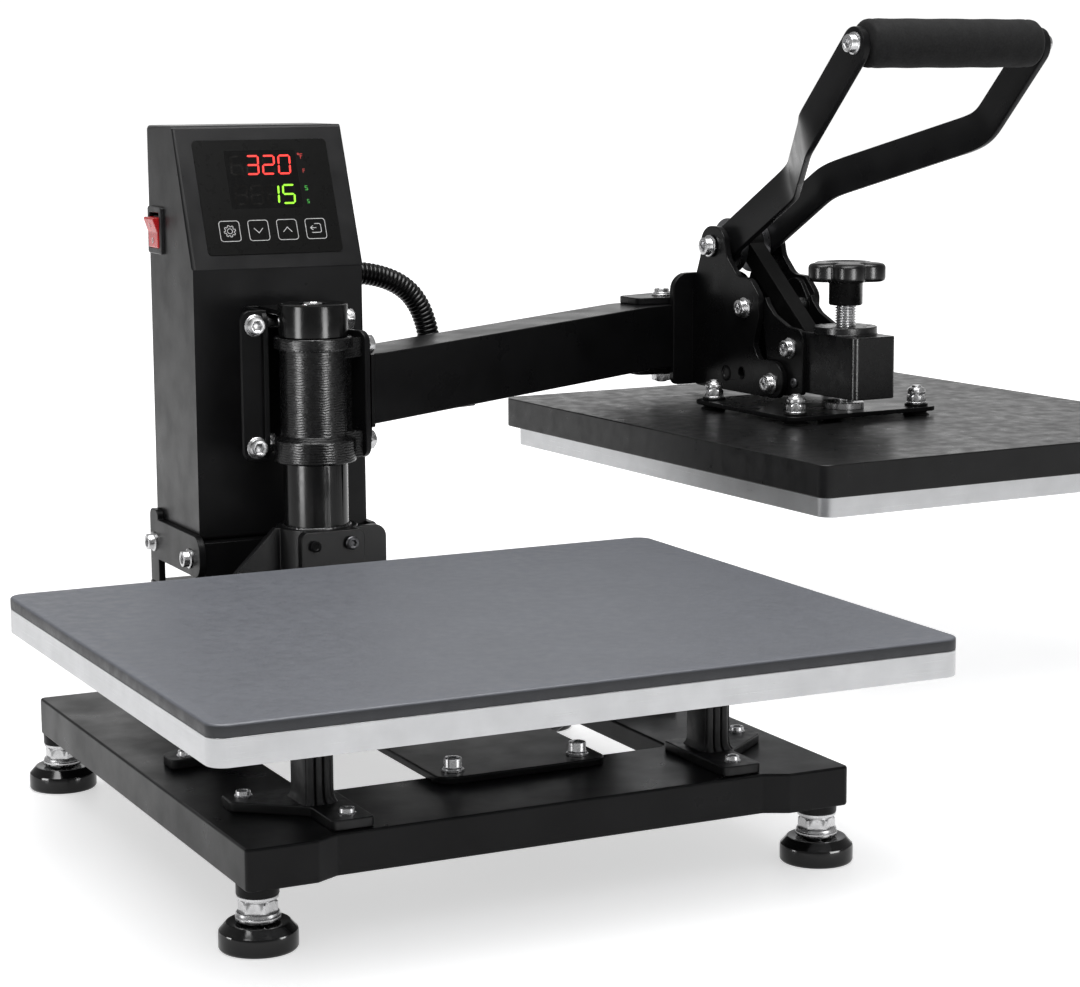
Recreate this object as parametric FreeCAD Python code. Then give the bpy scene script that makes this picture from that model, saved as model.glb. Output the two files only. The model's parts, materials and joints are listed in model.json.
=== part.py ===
import FreeCAD, Part
import math
import os

# Swing-away flat heat press. Millimetres, +Z up, +Y to the rear.
# The origin is the centre of the silicone pad's top face.
# The swing arm and the head are drawn square to the base about the post and then
# turned by rest_swing, which is how far open the press stands.

vec = FreeCAD.Vector

# Lower platen
platen_width = 380.0
platen_depth = 320.0
platen_corner = 9.0
pad_thick = 6.0
plate_thick = 13.0

# Base frame and its feet
standoff_height = 52.0
frame_height = 20.0
foot_height = 30.0
frame_width = 316.0
frame_front = -111.0
frame_rear = 219.0
bar_front = -105.0
bar_half = 112.0
wing_slant = 11.6
opening_half = 98.0
opening_front = -34.0
opening_rear = 174.0
frame_corner = 3.0
foot_x = 148.0
foot_front_y = -97.0
foot_rear_y = 212.0
boss_radius = 9.9
boss_height = 5.0
stem_radius = 5.0
stem_reach = 16.0
disc_radius = 18.3
disc_rim = 9.0
disc_neck = 14.5
disc_height = 12.5
nut_flange_radius = 10.5
nut_flange_base = 13.0
nut_flange_thick = 4.2
nut_flats = 16.0

# Stand-offs under the platen
standoff_x = 104.0
standoff_y = 60.0
standoff_plate = 5.0
column_base = (24.0, 20.0)
column_top = (34.0, 28.0)
column_flange = 4.0
column_flange_edge = 1.5
column_ribs = (5, 4)
standoff_foot = (
    (92, -102, 3), (113, -102, 3), (113, -74, 4), (143, -50, 4), (143, -34.5, 3), (92, -40, 3),
)
screw_front = (102.0, -92.0)
screw_side = (134.0, -42.0)
screw_radius = 4.0
screw_depth = 12.0

# Folded tray that joins the frame to the tower
tray_wall = 4.0
tray_left = -38.0
tray_right = 131.0
tongue_right = 54.0
tray_front = -54.0
tray_rear = 505.0
tray_slant_front = 10.0
tray_notch_side = 88.0
tray_notch_front = 45.0
tray_notch_rear = 106.0
tray_wall_front = 140.0
tray_wall_full = 190.0
tray_wall_height = 18.0
tray_bolt_inset = 12.0

# Post and its socket
post_x = 68.0
post_y = 372.0
post_radius = 20.5
socket_radius = 26.0
socket_height = 52.0
socket_flange = 5.0
socket_flange_half = 48.0
gusset_thick = 5.0
gusset_left = 5.0
gusset_low = 18.0
front_plate_half = 21.3
front_plate_thick = 5.0
lug_right = 115.0
shoulder_z = 25.7
spindle_radius = 15.0
cap_radius = 22.0
cap_height = 20.7
cap_bolt_radius = 5.0

# Turning sleeve on the post
sleeve_bottom = 26.0
sleeve_top = 105.0
sleeve_radius = 21.5
low_collar_radius = 26.0
low_collar_height = 14.0
top_collar_radius = 25.0
top_collar_height = 7.0
bush_radius = 18.0
bush_length = 14.0
flange_near = 24.0
flange_thick = 4.5
flange_low = 27.0
flange_high = 108.0
flange_half = 22.0
flange_bolt_low = 37.7
flange_bolt_high = 98.7
flange_bolt_depth = 7.5
flange_bolt_side = 14.0
collar_plate_thick = 4.1
collar_plate_edge = 1.5

# Arm tube
arm_angle = 15.5
arm_width = 40.0
arm_height = 44.5
arm_wall = 3.0
arm_start_z = 69.8
arm_end_z = 83.5
arm_rise_end = 290.0
arm_length = 386.0

# Tower beside the post
tower_left = 37.0
tower_plate = 3.5
tower_front = 378.0
tower_low = 27.0
tower_high = 122.0
web_right = 103.0
lug_left = 95.5
lug_low = 105.7
tower_bolt_y = 399.0
tower_bolt_high = 112.6
tower_bolt_low = 35.3
tower_bolt_radius = 4.0

# Control box
box_left = 5.0
box_width = 116.0
box_front = 417.0
box_depth = 84.8
box_bottom = -28.0
box_height = 263.7
crease_z = 145.5
slope_run = 35.9
box_shell = 1.5
box_round = 3.0
overlay_width = 92.0
overlay_low = 9.5
overlay_high = 87.0
overlay_thick = 0.5
window_width = 58.0
window_low = 39.0
window_high = 81.5
window_shift = 3.0
board_thick = 1.6
board_gap = 8.0
rocker_y = 486.0
rocker_z = 168.0
bezel_half_y = 8.5
bezel_half_z = 10.5
bezel_proud = 2.0
bezel_depth = 19.0
bezel_wall = 2.5
bezel_lip = 1.3
rocker_depth = 5.0
rocker_tilt = 10.0
rocker_pin = 1.2
cradle_plate = 4.5
cradle_front = 405.0
cradle_rear = 505.0
cradle_low = -51.0
cradle_high = -24.0
cradle_post = 17.0
cradle_bolt_front = 425.0
cradle_bolt_rear = 497.0
cradle_bolt_z = -40.0
inlet_width = 31.0
inlet_height = 23.0
inlet_z = 0.0
inlet_pins = ((-6, -2), (6, -2), (0, 3))
vent_count = 7
vent_pitch = 11.0
vent_width = 70.0
vent_slot = 4.0
vent_low = 90.0

# Corrugated hose
hose_radius = 7.6
hose_bore = 5.2
hose_root = 6.5
hose_pitch = 3.0
hose_y = 466.0
hose_z = 137.0
hose_bend = 53.0
gland_radius = 11.0
gland_proud = 1.5
entry_half = 13.0
entry_drop = 24.0

# Head, measured from the pressure screw, to the rear (p) and sideways
rod_x = 416.0
rod_y = 285.0
head_x = 440.0
head_y = 304.0
head_gap = 7.0
heater_thick = 13.0
heater_floor = 8.0
heater_rim = 10.0
cover_width = 332.0
cover_depth = 392.0
cover_height = 20.0
cover_shell = 1.5
cover_corner = 8.0
insulation_thick = 8.0
element_height = 5.0
element_strip = 10.0
element_passes = 8
spacer_height = 3.0
spacer_radius = 8.0
mount_size = 120.0
mount_thick = 3.0
mount_front = -25.0
mount_corner = 8.0
stud_side = 49.0
stud_front = -14.0
stud_rear = 84.0
stud_radius = 4.0
socket_ring_radius = 13.0
socket_ring_height = 4.5
ball_radius = 5.7

# Toggle mechanism: (p, z) places of its pivots
pivot_handle = (125.0, 148.0)
pivot_stub = (82.6, 108.0)
pivot_link = (35.0, 84.0)
pivot_press = (50.0, 59.0)
tie_place = (105.0, 61.0)
cheek_bolt_place = (29.0, 61.0)
cheek_bolt_radius = 3.0
# Outlines of the head's plates: (to the rear, up, corner radius)
side_outline = (
    (149, 49, 8), (149, 117, 10), (139, 141, 10), (138.7, 162, 13.5), (110.9, 162, 13.5),
    (105, 141, 10), (92, 129, 12), (77, 128.5, 10), (65, 117, 9), (66, 101, 10),
    (72, 84, 8), (66, 74, 8), (36, 74, 13), (36, 49, 12),
)
doubler_outline = ((97, 93, 10), (97, 125, 11), (80, 127.5, 11), (68, 112, 6), (70, 97, 6))
cheek_outline = (
    (20, 97, 7), (38, 98.5, 20), (54, 105, 14), (62, 112, 10), (66.8, 120, 1.5),
    (66.8, 97, 6), (61, 69, 10), (61, 49, 10), (20, 53.5, 3),
)
open_hole = (86.0, 62.5)
trunnion_radius = 5.0
link_pin_radius = 4.0
press_pin_radius = 5.0
crank_radius = 10.0
crank_angle = 172.4
crank_disc_radius = 19.0
link_half = 6.0
link_eye_radius = 9.0
link_shank = 13.0
link_open_bore = 5.0
disc_inner = 6.5
disc_outer = 12.0
bar_outer = 17.0
cheek_thick = 3.5
cheek_gap = 0.4
side_plate_thick = 4.5
clamp_plate_thick = 6.0
clamp_front = 149.0
clamp_heights = (49.0, 128.0)
ear_thick = 5.0
ear_reach = 48.0
ear_corners = ((8.0, 52.0, 6), (-64.0, 32.0, 6), (-64.0, 4.0, 6))
spacer_tube_radius = 7.5

# Press arm block and the pressure screw
block_front = -34.0
block_rear = 41.0
block_low = 55.0
block_high = 96.0
block_wall = 3.0
block_round = 4.0
block_notch = 18.0
press_flange_radius = 21.0
press_flange_thick = 5.0
pressure_radius = 6.0
knob_hub_radius = 11.0
knob_hub_low = 115.0
knob_low = 127.0
knob_high = 145.0
knob_radius = 23.0
knob_lobe = 5.2
knob_lobes = 8

# Handle: bends of the bars from the handle pivot, to the rear and up
handle_bends = ((0.0, 0.0), (-83.3, 47.0), (-177.4, 82.1), (-230.7, 137.0))
handle_spread = (14.5, 14.5, 70.0, 70.0)
bar_height = 24.0
bar_thick = 5.0
grip_rod_radius = 5.0
grip_radius = 15.0
grip_length = 130.0

# Pose and clearances
rest_swing = 3.0
running = 0.05
seat_gap = 0.3
thread_gap = 0.1

# Levels that follow from the sizes above
plate_top = -pad_thick
plate_bottom = plate_top - plate_thick
frame_top = plate_bottom - standoff_height
frame_bottom = frame_top - frame_height
floor_z = frame_bottom - foot_height
tray_top = frame_top + tray_wall
socket_floor = tray_top + socket_flange
socket_top = tray_top + socket_height
cap_bottom = sleeve_top + seat_gap
box_right = box_left + box_width
box_rear = box_front + box_depth
box_top = box_bottom + box_height
slope_angle = math.degrees(math.atan2(slope_run, box_top - crease_z))
cheek_outer = bar_outer + cheek_thick
side_inner = cheek_outer + cheek_gap
side_outer = side_inner + side_plate_thick
cover_top = head_gap + heater_thick + cover_height
mount_low = cover_top + spacer_height
mount_top = mount_low + mount_thick
cover_inner_top = cover_top - cover_shell


def box(x0, x1, y0, y1, z0, z1):
    return Part.makeBox(x1 - x0, y1 - y0, z1 - z0, vec(x0, y0, z0))


def bar(radius, start, end):
    """Round bar between two points."""
    way = end - start
    return Part.makeCylinder(radius, way.Length, start, way)


def tube(outer, inner, start, end):
    return bar(outer, start, end).cut(bar(inner, start, end))


def on_x(x):
    return lambda a, b: vec(x, a, b)


def on_y(y):
    return lambda a, b: vec(a, y, b)


def on_z(z):
    return lambda a, b: vec(a, b, z)


def corner_reaches(corners):
    """Half angle and tangent length of each corner, cut back where two would meet."""
    count = len(corners)
    points = [vec(a, b, 0) for a, b, radius in corners]
    halves = []
    for i in range(count):
        back = points[i - 1] - points[i]
        ahead = points[(i + 1) % count] - points[i]
        halves.append(back.getAngle(ahead) / 2)
    wanted = [corners[i][2] / math.tan(halves[i]) for i in range(count)]
    reaches = list(wanted)
    for i in range(count):
        after = (i + 1) % count
        room = (points[after] - points[i]).Length
        share = min(1.0, room / max(wanted[i] + wanted[after], 1e-9))
        reaches[i] = min(reaches[i], wanted[i] * share)
        reaches[after] = min(reaches[after], wanted[after] * share)
    return points, halves, reaches


def outline(corners, place):
    """Closed wire through corners (a, b, radius), each rounded by its own radius."""
    count = len(corners)
    points, halves, reaches = corner_reaches(corners)
    starts = []
    middles = []
    ends = []
    for i in range(count):
        back = (points[i - 1] - points[i]).normalize()
        ahead = (points[(i + 1) % count] - points[i]).normalize()
        radius = reaches[i] * math.tan(halves[i])
        starts.append(points[i] + back * reaches[i])
        ends.append(points[i] + ahead * reaches[i])
        inward = (back + ahead).normalize()
        middles.append(points[i] + inward * (radius / math.sin(halves[i]) - radius))
    edges = []
    for i in range(count):
        after = starts[(i + 1) % count]
        first = place(starts[i].x, starts[i].y)
        middle = place(middles[i].x, middles[i].y)
        last = place(ends[i].x, ends[i].y)
        if reaches[i] > 1e-6:
            edges.append(Part.Arc(first, middle, last).toShape())
        if (after - ends[i]).Length > 1e-6:
            edges.append(Part.makeLine(last, place(after.x, after.y)))
    return Part.Wire(edges)


def rectangle(a0, a1, b0, b1, radius=0.0):
    return [(a0, b0, radius), (a1, b0, radius), (a1, b1, radius), (a0, b1, radius)]


def slab(corners, place, push):
    return Part.Face(outline(corners, place)).extrude(push)


def plate_x(corners, x0, x1):
    return slab(corners, on_x(x0), vec(x1 - x0, 0, 0))


def plate_y(corners, y0, y1):
    return slab(corners, on_y(y0), vec(0, y1 - y0, 0))


def plate_z(corners, z0, z1):
    return slab(corners, on_z(z0), vec(0, 0, z1 - z0))


def turned(profile, x, y):
    """Solid of revolution about an upright axis, from (radius, z, corner radius) points."""
    face = Part.Face(outline(profile, on_y(0)))
    solid = face.revolve(vec(0, 0, 0), vec(0, 0, 1), 360)
    solid.translate(vec(x, y, 0))
    return solid


def hexagon(flats, start, end):
    """Hexagonal bar between two points."""
    way = end - start
    corners = []
    for i in range(6):
        angle = math.radians(60 * i)
        reach = flats / math.sqrt(3)
        corners.append(vec(reach * math.cos(angle), reach * math.sin(angle), 0))
    corners.append(corners[0])
    solid = Part.Face(Part.makePolygon(corners)).extrude(vec(0, 0, way.Length))
    solid.Placement = FreeCAD.Placement(start, FreeCAD.Rotation(vec(0, 0, 1), way))
    return solid


def cap_bolt(seat, way, grip, radius):
    """Low socket head on its seat, with its shank going along way."""
    head = bar(1.6 * radius, seat, seat - way * (1.3 * radius))
    key = hexagon(1.25 * radius, seat - way * (0.5 * radius), seat - way * (1.4 * radius))
    return head.cut(key).fuse(bar(radius, seat, seat + way * grip)).removeSplitter()


def hex_nut(seat, way, radius):
    """Nut on a bolt, lying on its seat and reaching along way."""
    end = seat + way * (1.5 * radius)
    return hexagon(3.25 * radius, seat, end).cut(bar(radius, seat, end))


def mirrored(shape, x=0.0):
    return shape.mirror(vec(x, 0, 0), vec(1, 0, 0))


def swung(shape):
    """A piece of the swing arm or the head, turned from square to its resting place."""
    turned_shape = shape.copy()
    turned_shape.rotate(vec(post_x, post_y, 0), vec(0, 0, 1), rest_swing)
    return turned_shape


def side(lateral, p, z):
    """Point of the mechanism: sideways from its middle plane, to the rear, up."""
    return vec(rod_x + lateral, rod_y + p, z)


def cross_bar(radius, place, left, right):
    return bar(radius, side(left, place[0], place[1]), side(right, place[0], place[1]))


def profile_plate(corners, left, right):
    """Plate of the mechanism with a (p, z, radius) outline between two sideways places."""
    shifted = [(rod_y + p, z, radius) for p, z, radius in corners]
    return plate_x(shifted, rod_x + left, rod_x + right)


def arm_point(along, across, z):
    """Point measured along the arm from the post's axis, across it and up."""
    angle = math.radians(arm_angle)
    x = post_x + along * math.cos(angle) - across * math.sin(angle)
    y = post_y + along * math.sin(angle) + across * math.cos(angle)
    return vec(x, y, z)


def arm_box(along0, along1, across0, across1, z0, z1):
    """Box that lies along the arm."""
    solid = box(along0, along1, across0, across1, z0, z1)
    solid.rotate(vec(0, 0, 0), vec(0, 0, 1), arm_angle)
    solid.translate(vec(post_x, post_y, 0))
    return solid


def on_slope(shape):
    """Carry a shape drawn on an upright wall at y 0, up from z 0, to the slanted face."""
    shape.rotate(vec(0, 0, 0), vec(1, 0, 0), -slope_angle)
    shape.translate(vec(0, box_front, crease_z))
    return shape


def foot_places():
    return {
        "foot_front_left": (-foot_x, foot_front_y),
        "foot_front_right": (foot_x, foot_front_y),
        "foot_rear_left": (-foot_x, foot_rear_y),
        "foot_rear_right": (foot_x, foot_rear_y),
        "foot_tower": (post_x, post_y),
    }


def foot(x, y):
    """Levelling foot: disc with a sloped shoulder and its stem."""
    top = frame_bottom + stem_reach
    low = floor_z + disc_height
    corners = [
        (0, floor_z, 0),
        (disc_radius, floor_z, 1.0),
        (disc_radius, floor_z + disc_rim, 1.0),
        (disc_neck, low, 0),
        (stem_radius, low, 0),
        (stem_radius, top, 0),
        (0, top, 0),
    ]
    return turned(corners, x, y)


def foot_nut(x, y):
    """Jam nut with its washer face, tight under the boss."""
    low = floor_z + nut_flange_base
    high = frame_bottom - boss_height
    ring = bar(nut_flange_radius, vec(x, y, low), vec(x, y, low + nut_flange_thick))
    nut = ring.fuse(hexagon(nut_flats, vec(x, y, low + nut_flange_thick), vec(x, y, high)))
    return nut.cut(bar(stem_radius + running, vec(x, y, low), vec(x, y, high)))


def stem_bore(x, y, z0, z1):
    return bar(stem_radius + running, vec(x, y, z0), vec(x, y, z1))


def base_screw_places():
    places = []
    for sx in (-1, 1):
        for sy in (1, -1):
            places.append((sx * screw_front[0], sy * screw_front[1]))
            places.append((sx * screw_side[0], sy * screw_side[1]))
    return places


def tray_bolt_places():
    left = tray_left + tray_bolt_inset
    front = tray_front + tray_bolt_inset
    rear = (opening_rear + frame_rear) / 2
    right = tongue_right - tray_bolt_inset
    return [(left, front), (right, front), (left, rear), (right, rear)]


def base_frame():
    """Heavy frame: open middle, corner wings ahead of the front bar, foot bosses."""
    half = frame_width / 2
    corners = [
        (-half, frame_front, frame_corner),
        (-bar_half - wing_slant, frame_front, frame_corner),
        (-bar_half, bar_front, frame_corner),
        (bar_half, bar_front, frame_corner),
        (bar_half + wing_slant, frame_front, frame_corner),
        (half, frame_front, frame_corner),
        (half, frame_rear, frame_corner),
        (-half, frame_rear, frame_corner),
    ]
    frame = plate_z(corners, frame_bottom, frame_top)
    gap = rectangle(-opening_half, opening_half, opening_front, opening_rear, 2 * frame_corner)
    frame = frame.cut(plate_z(gap, frame_bottom, frame_top))
    for name, (x, y) in foot_places().items():
        if name == "foot_tower":
            continue
        low = frame_bottom - boss_height
        frame = frame.fuse(bar(boss_radius, vec(x, y, low), vec(x, y, frame_bottom)))
        frame = frame.cut(stem_bore(x, y, low, frame_bottom + stem_reach + 1))
    for x, y in base_screw_places() + tray_bolt_places():
        low = frame_top - screw_depth
        frame = frame.cut(bar(screw_radius + thread_gap, vec(x, y, low), vec(x, y, frame_top)))
    return frame


def ribbed_section(width, depth, z):
    """Rectangle whose sides are rows of half-round ribs."""
    a = width / 2
    b = depth / 2
    turns = ((a, b, -1, 0), (-a, b, 0, -1), (-a, -b, 1, 0), (a, -b, 0, 1))
    points = []
    for x, y, dx, dy in turns:
        count = column_ribs[0] if dx else column_ribs[1]
        pitch = (width if dx else depth) / count
        rib = 0.38 * pitch
        for i in range(count):
            middle = vec(x, y, z) + vec(dx, dy, 0) * (pitch * (i + 0.5))
            out = vec(dy, -dx, 0) * rib
            along = vec(dx, dy, 0) * rib
            points.append((middle - along, middle + out, middle + along))
    edges = []
    for i in range(len(points)):
        first, crest, last = points[i]
        after = points[(i + 1) % len(points)][0]
        edges.append(Part.Arc(first, crest, last).toShape())
        edges.append(Part.makeLine(last, after))
    return Part.Wire(edges)


def standoff():
    """Front right stand-off: foot plate, ribbed column that flares, top flange."""
    foot_top = frame_top + standoff_plate
    solid = plate_z(standoff_foot, frame_top, foot_top)
    flange_low_z = plate_bottom - column_flange
    low = ribbed_section(column_base[0], column_base[1], foot_top)
    high = ribbed_section(column_top[0], column_top[1], flange_low_z)
    column = Part.makeLoft([low, high], True, True)
    column.translate(vec(standoff_x, -standoff_y, 0))
    half_x = column_top[0] / 2 + column_flange_edge
    half_y = column_top[1] / 2 + column_flange_edge
    flange = rectangle(
        standoff_x - half_x, standoff_x + half_x, -standoff_y - half_y, -standoff_y + half_y, 3
    )
    solid = solid.fuse(column).fuse(plate_z(flange, flange_low_z, plate_bottom))
    for x, y in (screw_front, screw_side):
        hole = bar(screw_radius + thread_gap, vec(x, y, frame_top), vec(x, y, foot_top))
        solid = solid.cut(hole)
    return solid


def standoff_pair(rear):
    right = standoff()
    if rear:
        right = right.mirror(vec(0, 0, 0), vec(0, 1, 0))
    return [right, mirrored(right)]


def standoff_screws():
    screws = []
    for x, y in base_screw_places():
        seat = vec(x, y, frame_top + standoff_plate)
        screws.append(cap_bolt(seat, vec(0, 0, -1), standoff_plate + screw_depth, screw_radius))
    return screws


def platen(z0, z1):
    half_x = platen_width / 2
    half_y = platen_depth / 2
    return plate_z(rectangle(-half_x, half_x, -half_y, half_y, platen_corner), z0, z1)


def spine_tray():
    """Tray from the front bar to the tower, with folded side walls and a foot boss."""
    corners = [
        (tray_left, tray_front, 8), (tongue_right, tray_front, 8),
        (tongue_right, tray_slant_front, 4),
        (tray_notch_side, tray_notch_front, 4), (tray_notch_side, tray_notch_rear, 2),
        (tray_right, tray_notch_rear, 4),
        (tray_right, tray_rear, 0), (tray_left, tray_rear, 0),
    ]
    tray = plate_z(corners, frame_top, tray_top)
    high = tray_top + tray_wall_height
    wall = [
        (tray_wall_front, frame_top, 0), (tray_rear, frame_top, 0), (tray_rear, high, 4),
        (tray_wall_full, high, 6), (tray_wall_front, tray_top, 0),
    ]
    tray = tray.fuse(plate_x(wall, tray_left, tray_left + tray_wall))
    tray = tray.fuse(plate_x(wall, tray_right - tray_wall, tray_right))
    boss_low = frame_bottom - boss_height
    boss = bar(boss_radius, vec(post_x, post_y, boss_low), vec(post_x, post_y, frame_top))
    tray = tray.fuse(boss)
    tray = tray.cut(stem_bore(post_x, post_y, boss_low, frame_bottom + stem_reach + 1))
    for x, y in tray_bolt_places():
        hole = bar(screw_radius + thread_gap, vec(x, y, frame_top), vec(x, y, tray_top))
        tray = tray.cut(hole)
    return tray.removeSplitter()


def base_bolts():
    bolts = []
    for x, y in tray_bolt_places():
        seat = vec(x, y, tray_top)
        bolts.append(cap_bolt(seat, vec(0, 0, -1), tray_wall + screw_depth, screw_radius))
    return bolts


def post_socket():
    """Tube on a base flange with a gusset, a front plate and a lug."""
    half = socket_flange_half
    base = rectangle(post_x - half, post_x + half, post_y - half, post_y + half, 6)
    socket = plate_z(base, tray_top, socket_floor)
    centre_low = vec(post_x, post_y, socket_floor)
    centre_high = vec(post_x, post_y, socket_top)
    socket = socket.fuse(bar(socket_radius, centre_low, centre_high))
    near = post_x - socket_radius + 1
    drop = near - 4 - gusset_left
    gusset = [
        (near, socket_floor, 0), (near, socket_top, 0), (near - 4, socket_top, 0),
        (gusset_left, socket_top - drop, 0), (gusset_left, tray_top + gusset_low - drop / 4, 0),
        (post_x - half, socket_floor, 0),
    ]
    thick = gusset_thick / 2
    socket = socket.fuse(plate_y(gusset, post_y - thick, post_y + thick))
    front = post_y - socket_radius
    face = rectangle(
        post_x - front_plate_half, post_x + front_plate_half, socket_floor, socket_top, 0
    )
    face[2] = (face[2][0], face[2][1], 5)
    face[3] = (face[3][0], face[3][1], 5)
    socket = socket.fuse(plate_y(face, front - front_plate_thick / 2, front + front_plate_thick))
    lug = [
        (post_x + socket_radius - 1, socket_floor, 0), (lug_right, socket_floor, 0),
        (lug_right, socket_top - 3, 8), (post_x + socket_radius - 1, socket_top - 3, 0),
    ]
    socket = socket.fuse(plate_y(lug, post_y - thick, post_y + thick))
    socket = socket.cut(bar(post_radius + running, centre_low, centre_high))
    return socket.removeSplitter()


def post():
    """Column with a shoulder that carries the sleeve, and the spindle above it."""
    corners = [
        (0, socket_floor, 0), (post_radius, socket_floor, 0), (post_radius, shoulder_z, 0.8),
        (spindle_radius, shoulder_z, 0), (spindle_radius, cap_bottom, 0), (0, cap_bottom, 0),
    ]
    column = turned(corners, post_x, post_y)
    low = vec(post_x, post_y, cap_bottom - 2 * cap_height)
    return column.cut(bar(cap_bolt_radius + running, low, vec(post_x, post_y, cap_bottom)))


def post_cap():
    top = cap_bottom + cap_height
    corners = [
        (cap_bolt_radius + running, cap_bottom, 0), (cap_radius, cap_bottom, 0),
        (cap_radius, top, 1.2), (cap_bolt_radius + running, top, 0),
    ]
    cap = turned(corners, post_x, post_y)
    seat = vec(post_x, post_y, top)
    return [cap, cap_bolt(seat, vec(0, 0, -1), 2.5 * cap_height, cap_bolt_radius)]


def tower_bracket():
    """Web in front of the box, a top plate to the post's cap, a lug and a tab."""
    left = tower_left + tower_plate
    web_front = box_front - tower_plate
    web = plate_y(rectangle(left, web_right, tower_low, tower_high), web_front, box_front)
    top = plate_z(
        rectangle(post_x - cap_radius + 1, post_x + cap_radius - 1, post_y + 4, web_front),
        tower_high - tower_plate, tower_high,
    )
    axis_low = vec(post_x, post_y, tower_low)
    top = top.cut(bar(cap_radius + running, axis_low, vec(post_x, post_y, tower_high + 1)))
    lug = rectangle(tower_bolt_y - 9, web_front, lug_low, tower_high, 0)
    lug[0] = (lug[0][0], lug[0][1], 4)
    lug[3] = (lug[3][0], lug[3][1], 4)
    bracket = web.fuse(top).fuse(plate_x(lug, lug_left, lug_left + tower_plate))
    tab = rectangle(tower_bolt_y - 7, web_front, tower_low, tower_bolt_low + 8.7)
    bracket = bracket.fuse(plate_x(tab, left, left + tower_plate))
    hole = tower_bolt_radius + thread_gap
    far = lug_left + tower_plate
    for z, end in ((tower_bolt_high, far), (tower_bolt_low, left + tower_plate)):
        bracket = bracket.cut(bar(hole, vec(left, tower_bolt_y, z), vec(end, tower_bolt_y, z)))
    return bracket.removeSplitter()


def tower_side_plate():
    corners = rectangle(tower_front, box_front, tower_low, tower_high, 3)
    corners[0] = (tower_front, tower_low, 8)
    corners[3] = (tower_front, tower_high, 8)
    right = tower_left + tower_plate
    plate = plate_x(corners, tower_left, right)
    hole = tower_bolt_radius + thread_gap
    for z in (tower_bolt_high, tower_bolt_low):
        start = vec(tower_left, tower_bolt_y, z)
        plate = plate.cut(bar(hole, start, vec(right, tower_bolt_y, z)))
    return plate


def cradle_bolt_places():
    return [(y, cradle_bolt_z) for y in (cradle_bolt_front, cradle_bolt_rear)]


def tower_bolts():
    """Cross bolts of the tower with their nuts, and the bolts of the cradle."""
    bolts = []
    left = tower_left + 2 * tower_plate
    far = lug_left + tower_plate
    for z, end in ((tower_bolt_high, far), (tower_bolt_low, left)):
        grip = end - tower_left + 2 * tower_bolt_radius
        seat = vec(tower_left, tower_bolt_y, z)
        bolts.append(cap_bolt(seat, vec(1, 0, 0), grip, tower_bolt_radius))
        bolts.append(hex_nut(vec(end, tower_bolt_y, z), vec(1, 0, 0), tower_bolt_radius))
    for y, z in cradle_bolt_places():
        grip = cradle_plate + 2 * tower_bolt_radius
        left_seat = vec(box_left - cradle_plate, y, z)
        bolts.append(cap_bolt(left_seat, vec(1, 0, 0), grip, tower_bolt_radius))
        bolts.append(hex_nut(vec(box_left, y, z), vec(1, 0, 0), tower_bolt_radius))
        flush = vec(box_right + cradle_plate, y, z)
        bolts.append(bar(tower_bolt_radius, flush - vec(grip, 0, 0), flush))
        bolts.append(hex_nut(vec(box_right, y, z), vec(-1, 0, 0), tower_bolt_radius))
    return bolts


def box_cradle():
    """Two side bars with rear legs and a floor between them, welded to the tray."""
    front = cradle_front + 3
    cradle = box(box_left, box_right, front, cradle_rear, cradle_low, box_bottom)
    cradle = cradle.cut(box(
        box_left, box_right, front + tower_plate, cradle_rear, cradle_low,
        box_bottom - tower_plate,
    ))
    for x0 in (box_left - cradle_plate, box_right):
        bar_plate = rectangle(cradle_front, cradle_rear, cradle_low, cradle_high, 0)
        bar_plate[0] = (cradle_front, cradle_low, 10)
        bar_plate[3] = (cradle_front, cradle_high, 10)
        leg = rectangle(cradle_rear - cradle_post, cradle_rear, tray_top, cradle_high + 6, 0)
        leg[2] = (leg[2][0], leg[2][1], 5)
        leg[3] = (leg[3][0], leg[3][1], 5)
        wall = plate_x(bar_plate, x0, x0 + cradle_plate).fuse(
            plate_x(leg, x0, x0 + cradle_plate)
        )
        for y, z in cradle_bolt_places():
            start = vec(x0, y, z)
            end = vec(x0 + cradle_plate, y, z)
            wall = wall.cut(bar(tower_bolt_radius + thread_gap, start, end))
        cradle = cradle.fuse(wall)
    return cradle.removeSplitter()


def box_outline(inset, rear):
    """Side view of the control box, drawn in by inset, ending at rear."""
    angle = math.radians(slope_angle)
    front = box_front + inset
    top = box_top - inset
    kink = crease_z + inset * math.tan(angle / 2)
    crest = front + (top - kink) * math.tan(angle)
    rounding = max(box_round - inset, 0.5)
    return [
        (front, box_bottom + inset, rounding), (front, kink, rounding),
        (crest, top, rounding), (rear, top, 0), (rear, box_bottom + inset, 0),
    ]


def box_housing():
    """Folded shell, open at the back, cut for the window, the switch and the hose."""
    shell = plate_x(box_outline(0, box_rear), box_left, box_right)
    room = plate_x(
        box_outline(box_shell, box_rear), box_left + box_shell, box_right - box_shell
    )
    shell = shell.cut(room)
    middle = (box_left + box_right) / 2 + window_shift
    half = window_width / 2
    window = on_slope(box(middle - half, middle + half, -3, 3, window_low, window_high))
    switch = box(
        box_left - 1, box_left + box_shell + 1,
        rocker_y - bezel_half_y + bezel_lip - running, rocker_y + bezel_half_y - bezel_lip + running,
        rocker_z - bezel_half_z + bezel_lip - running, rocker_z + bezel_half_z - bezel_lip + running,
    )
    wall = vec(box_right - box_shell - 1, hose_y, hose_z)
    hole = bar(gland_radius - 2 + running, wall, vec(box_right + 1, hose_y, hose_z))
    return shell.cut(window).cut(switch).cut(hole)


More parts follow.
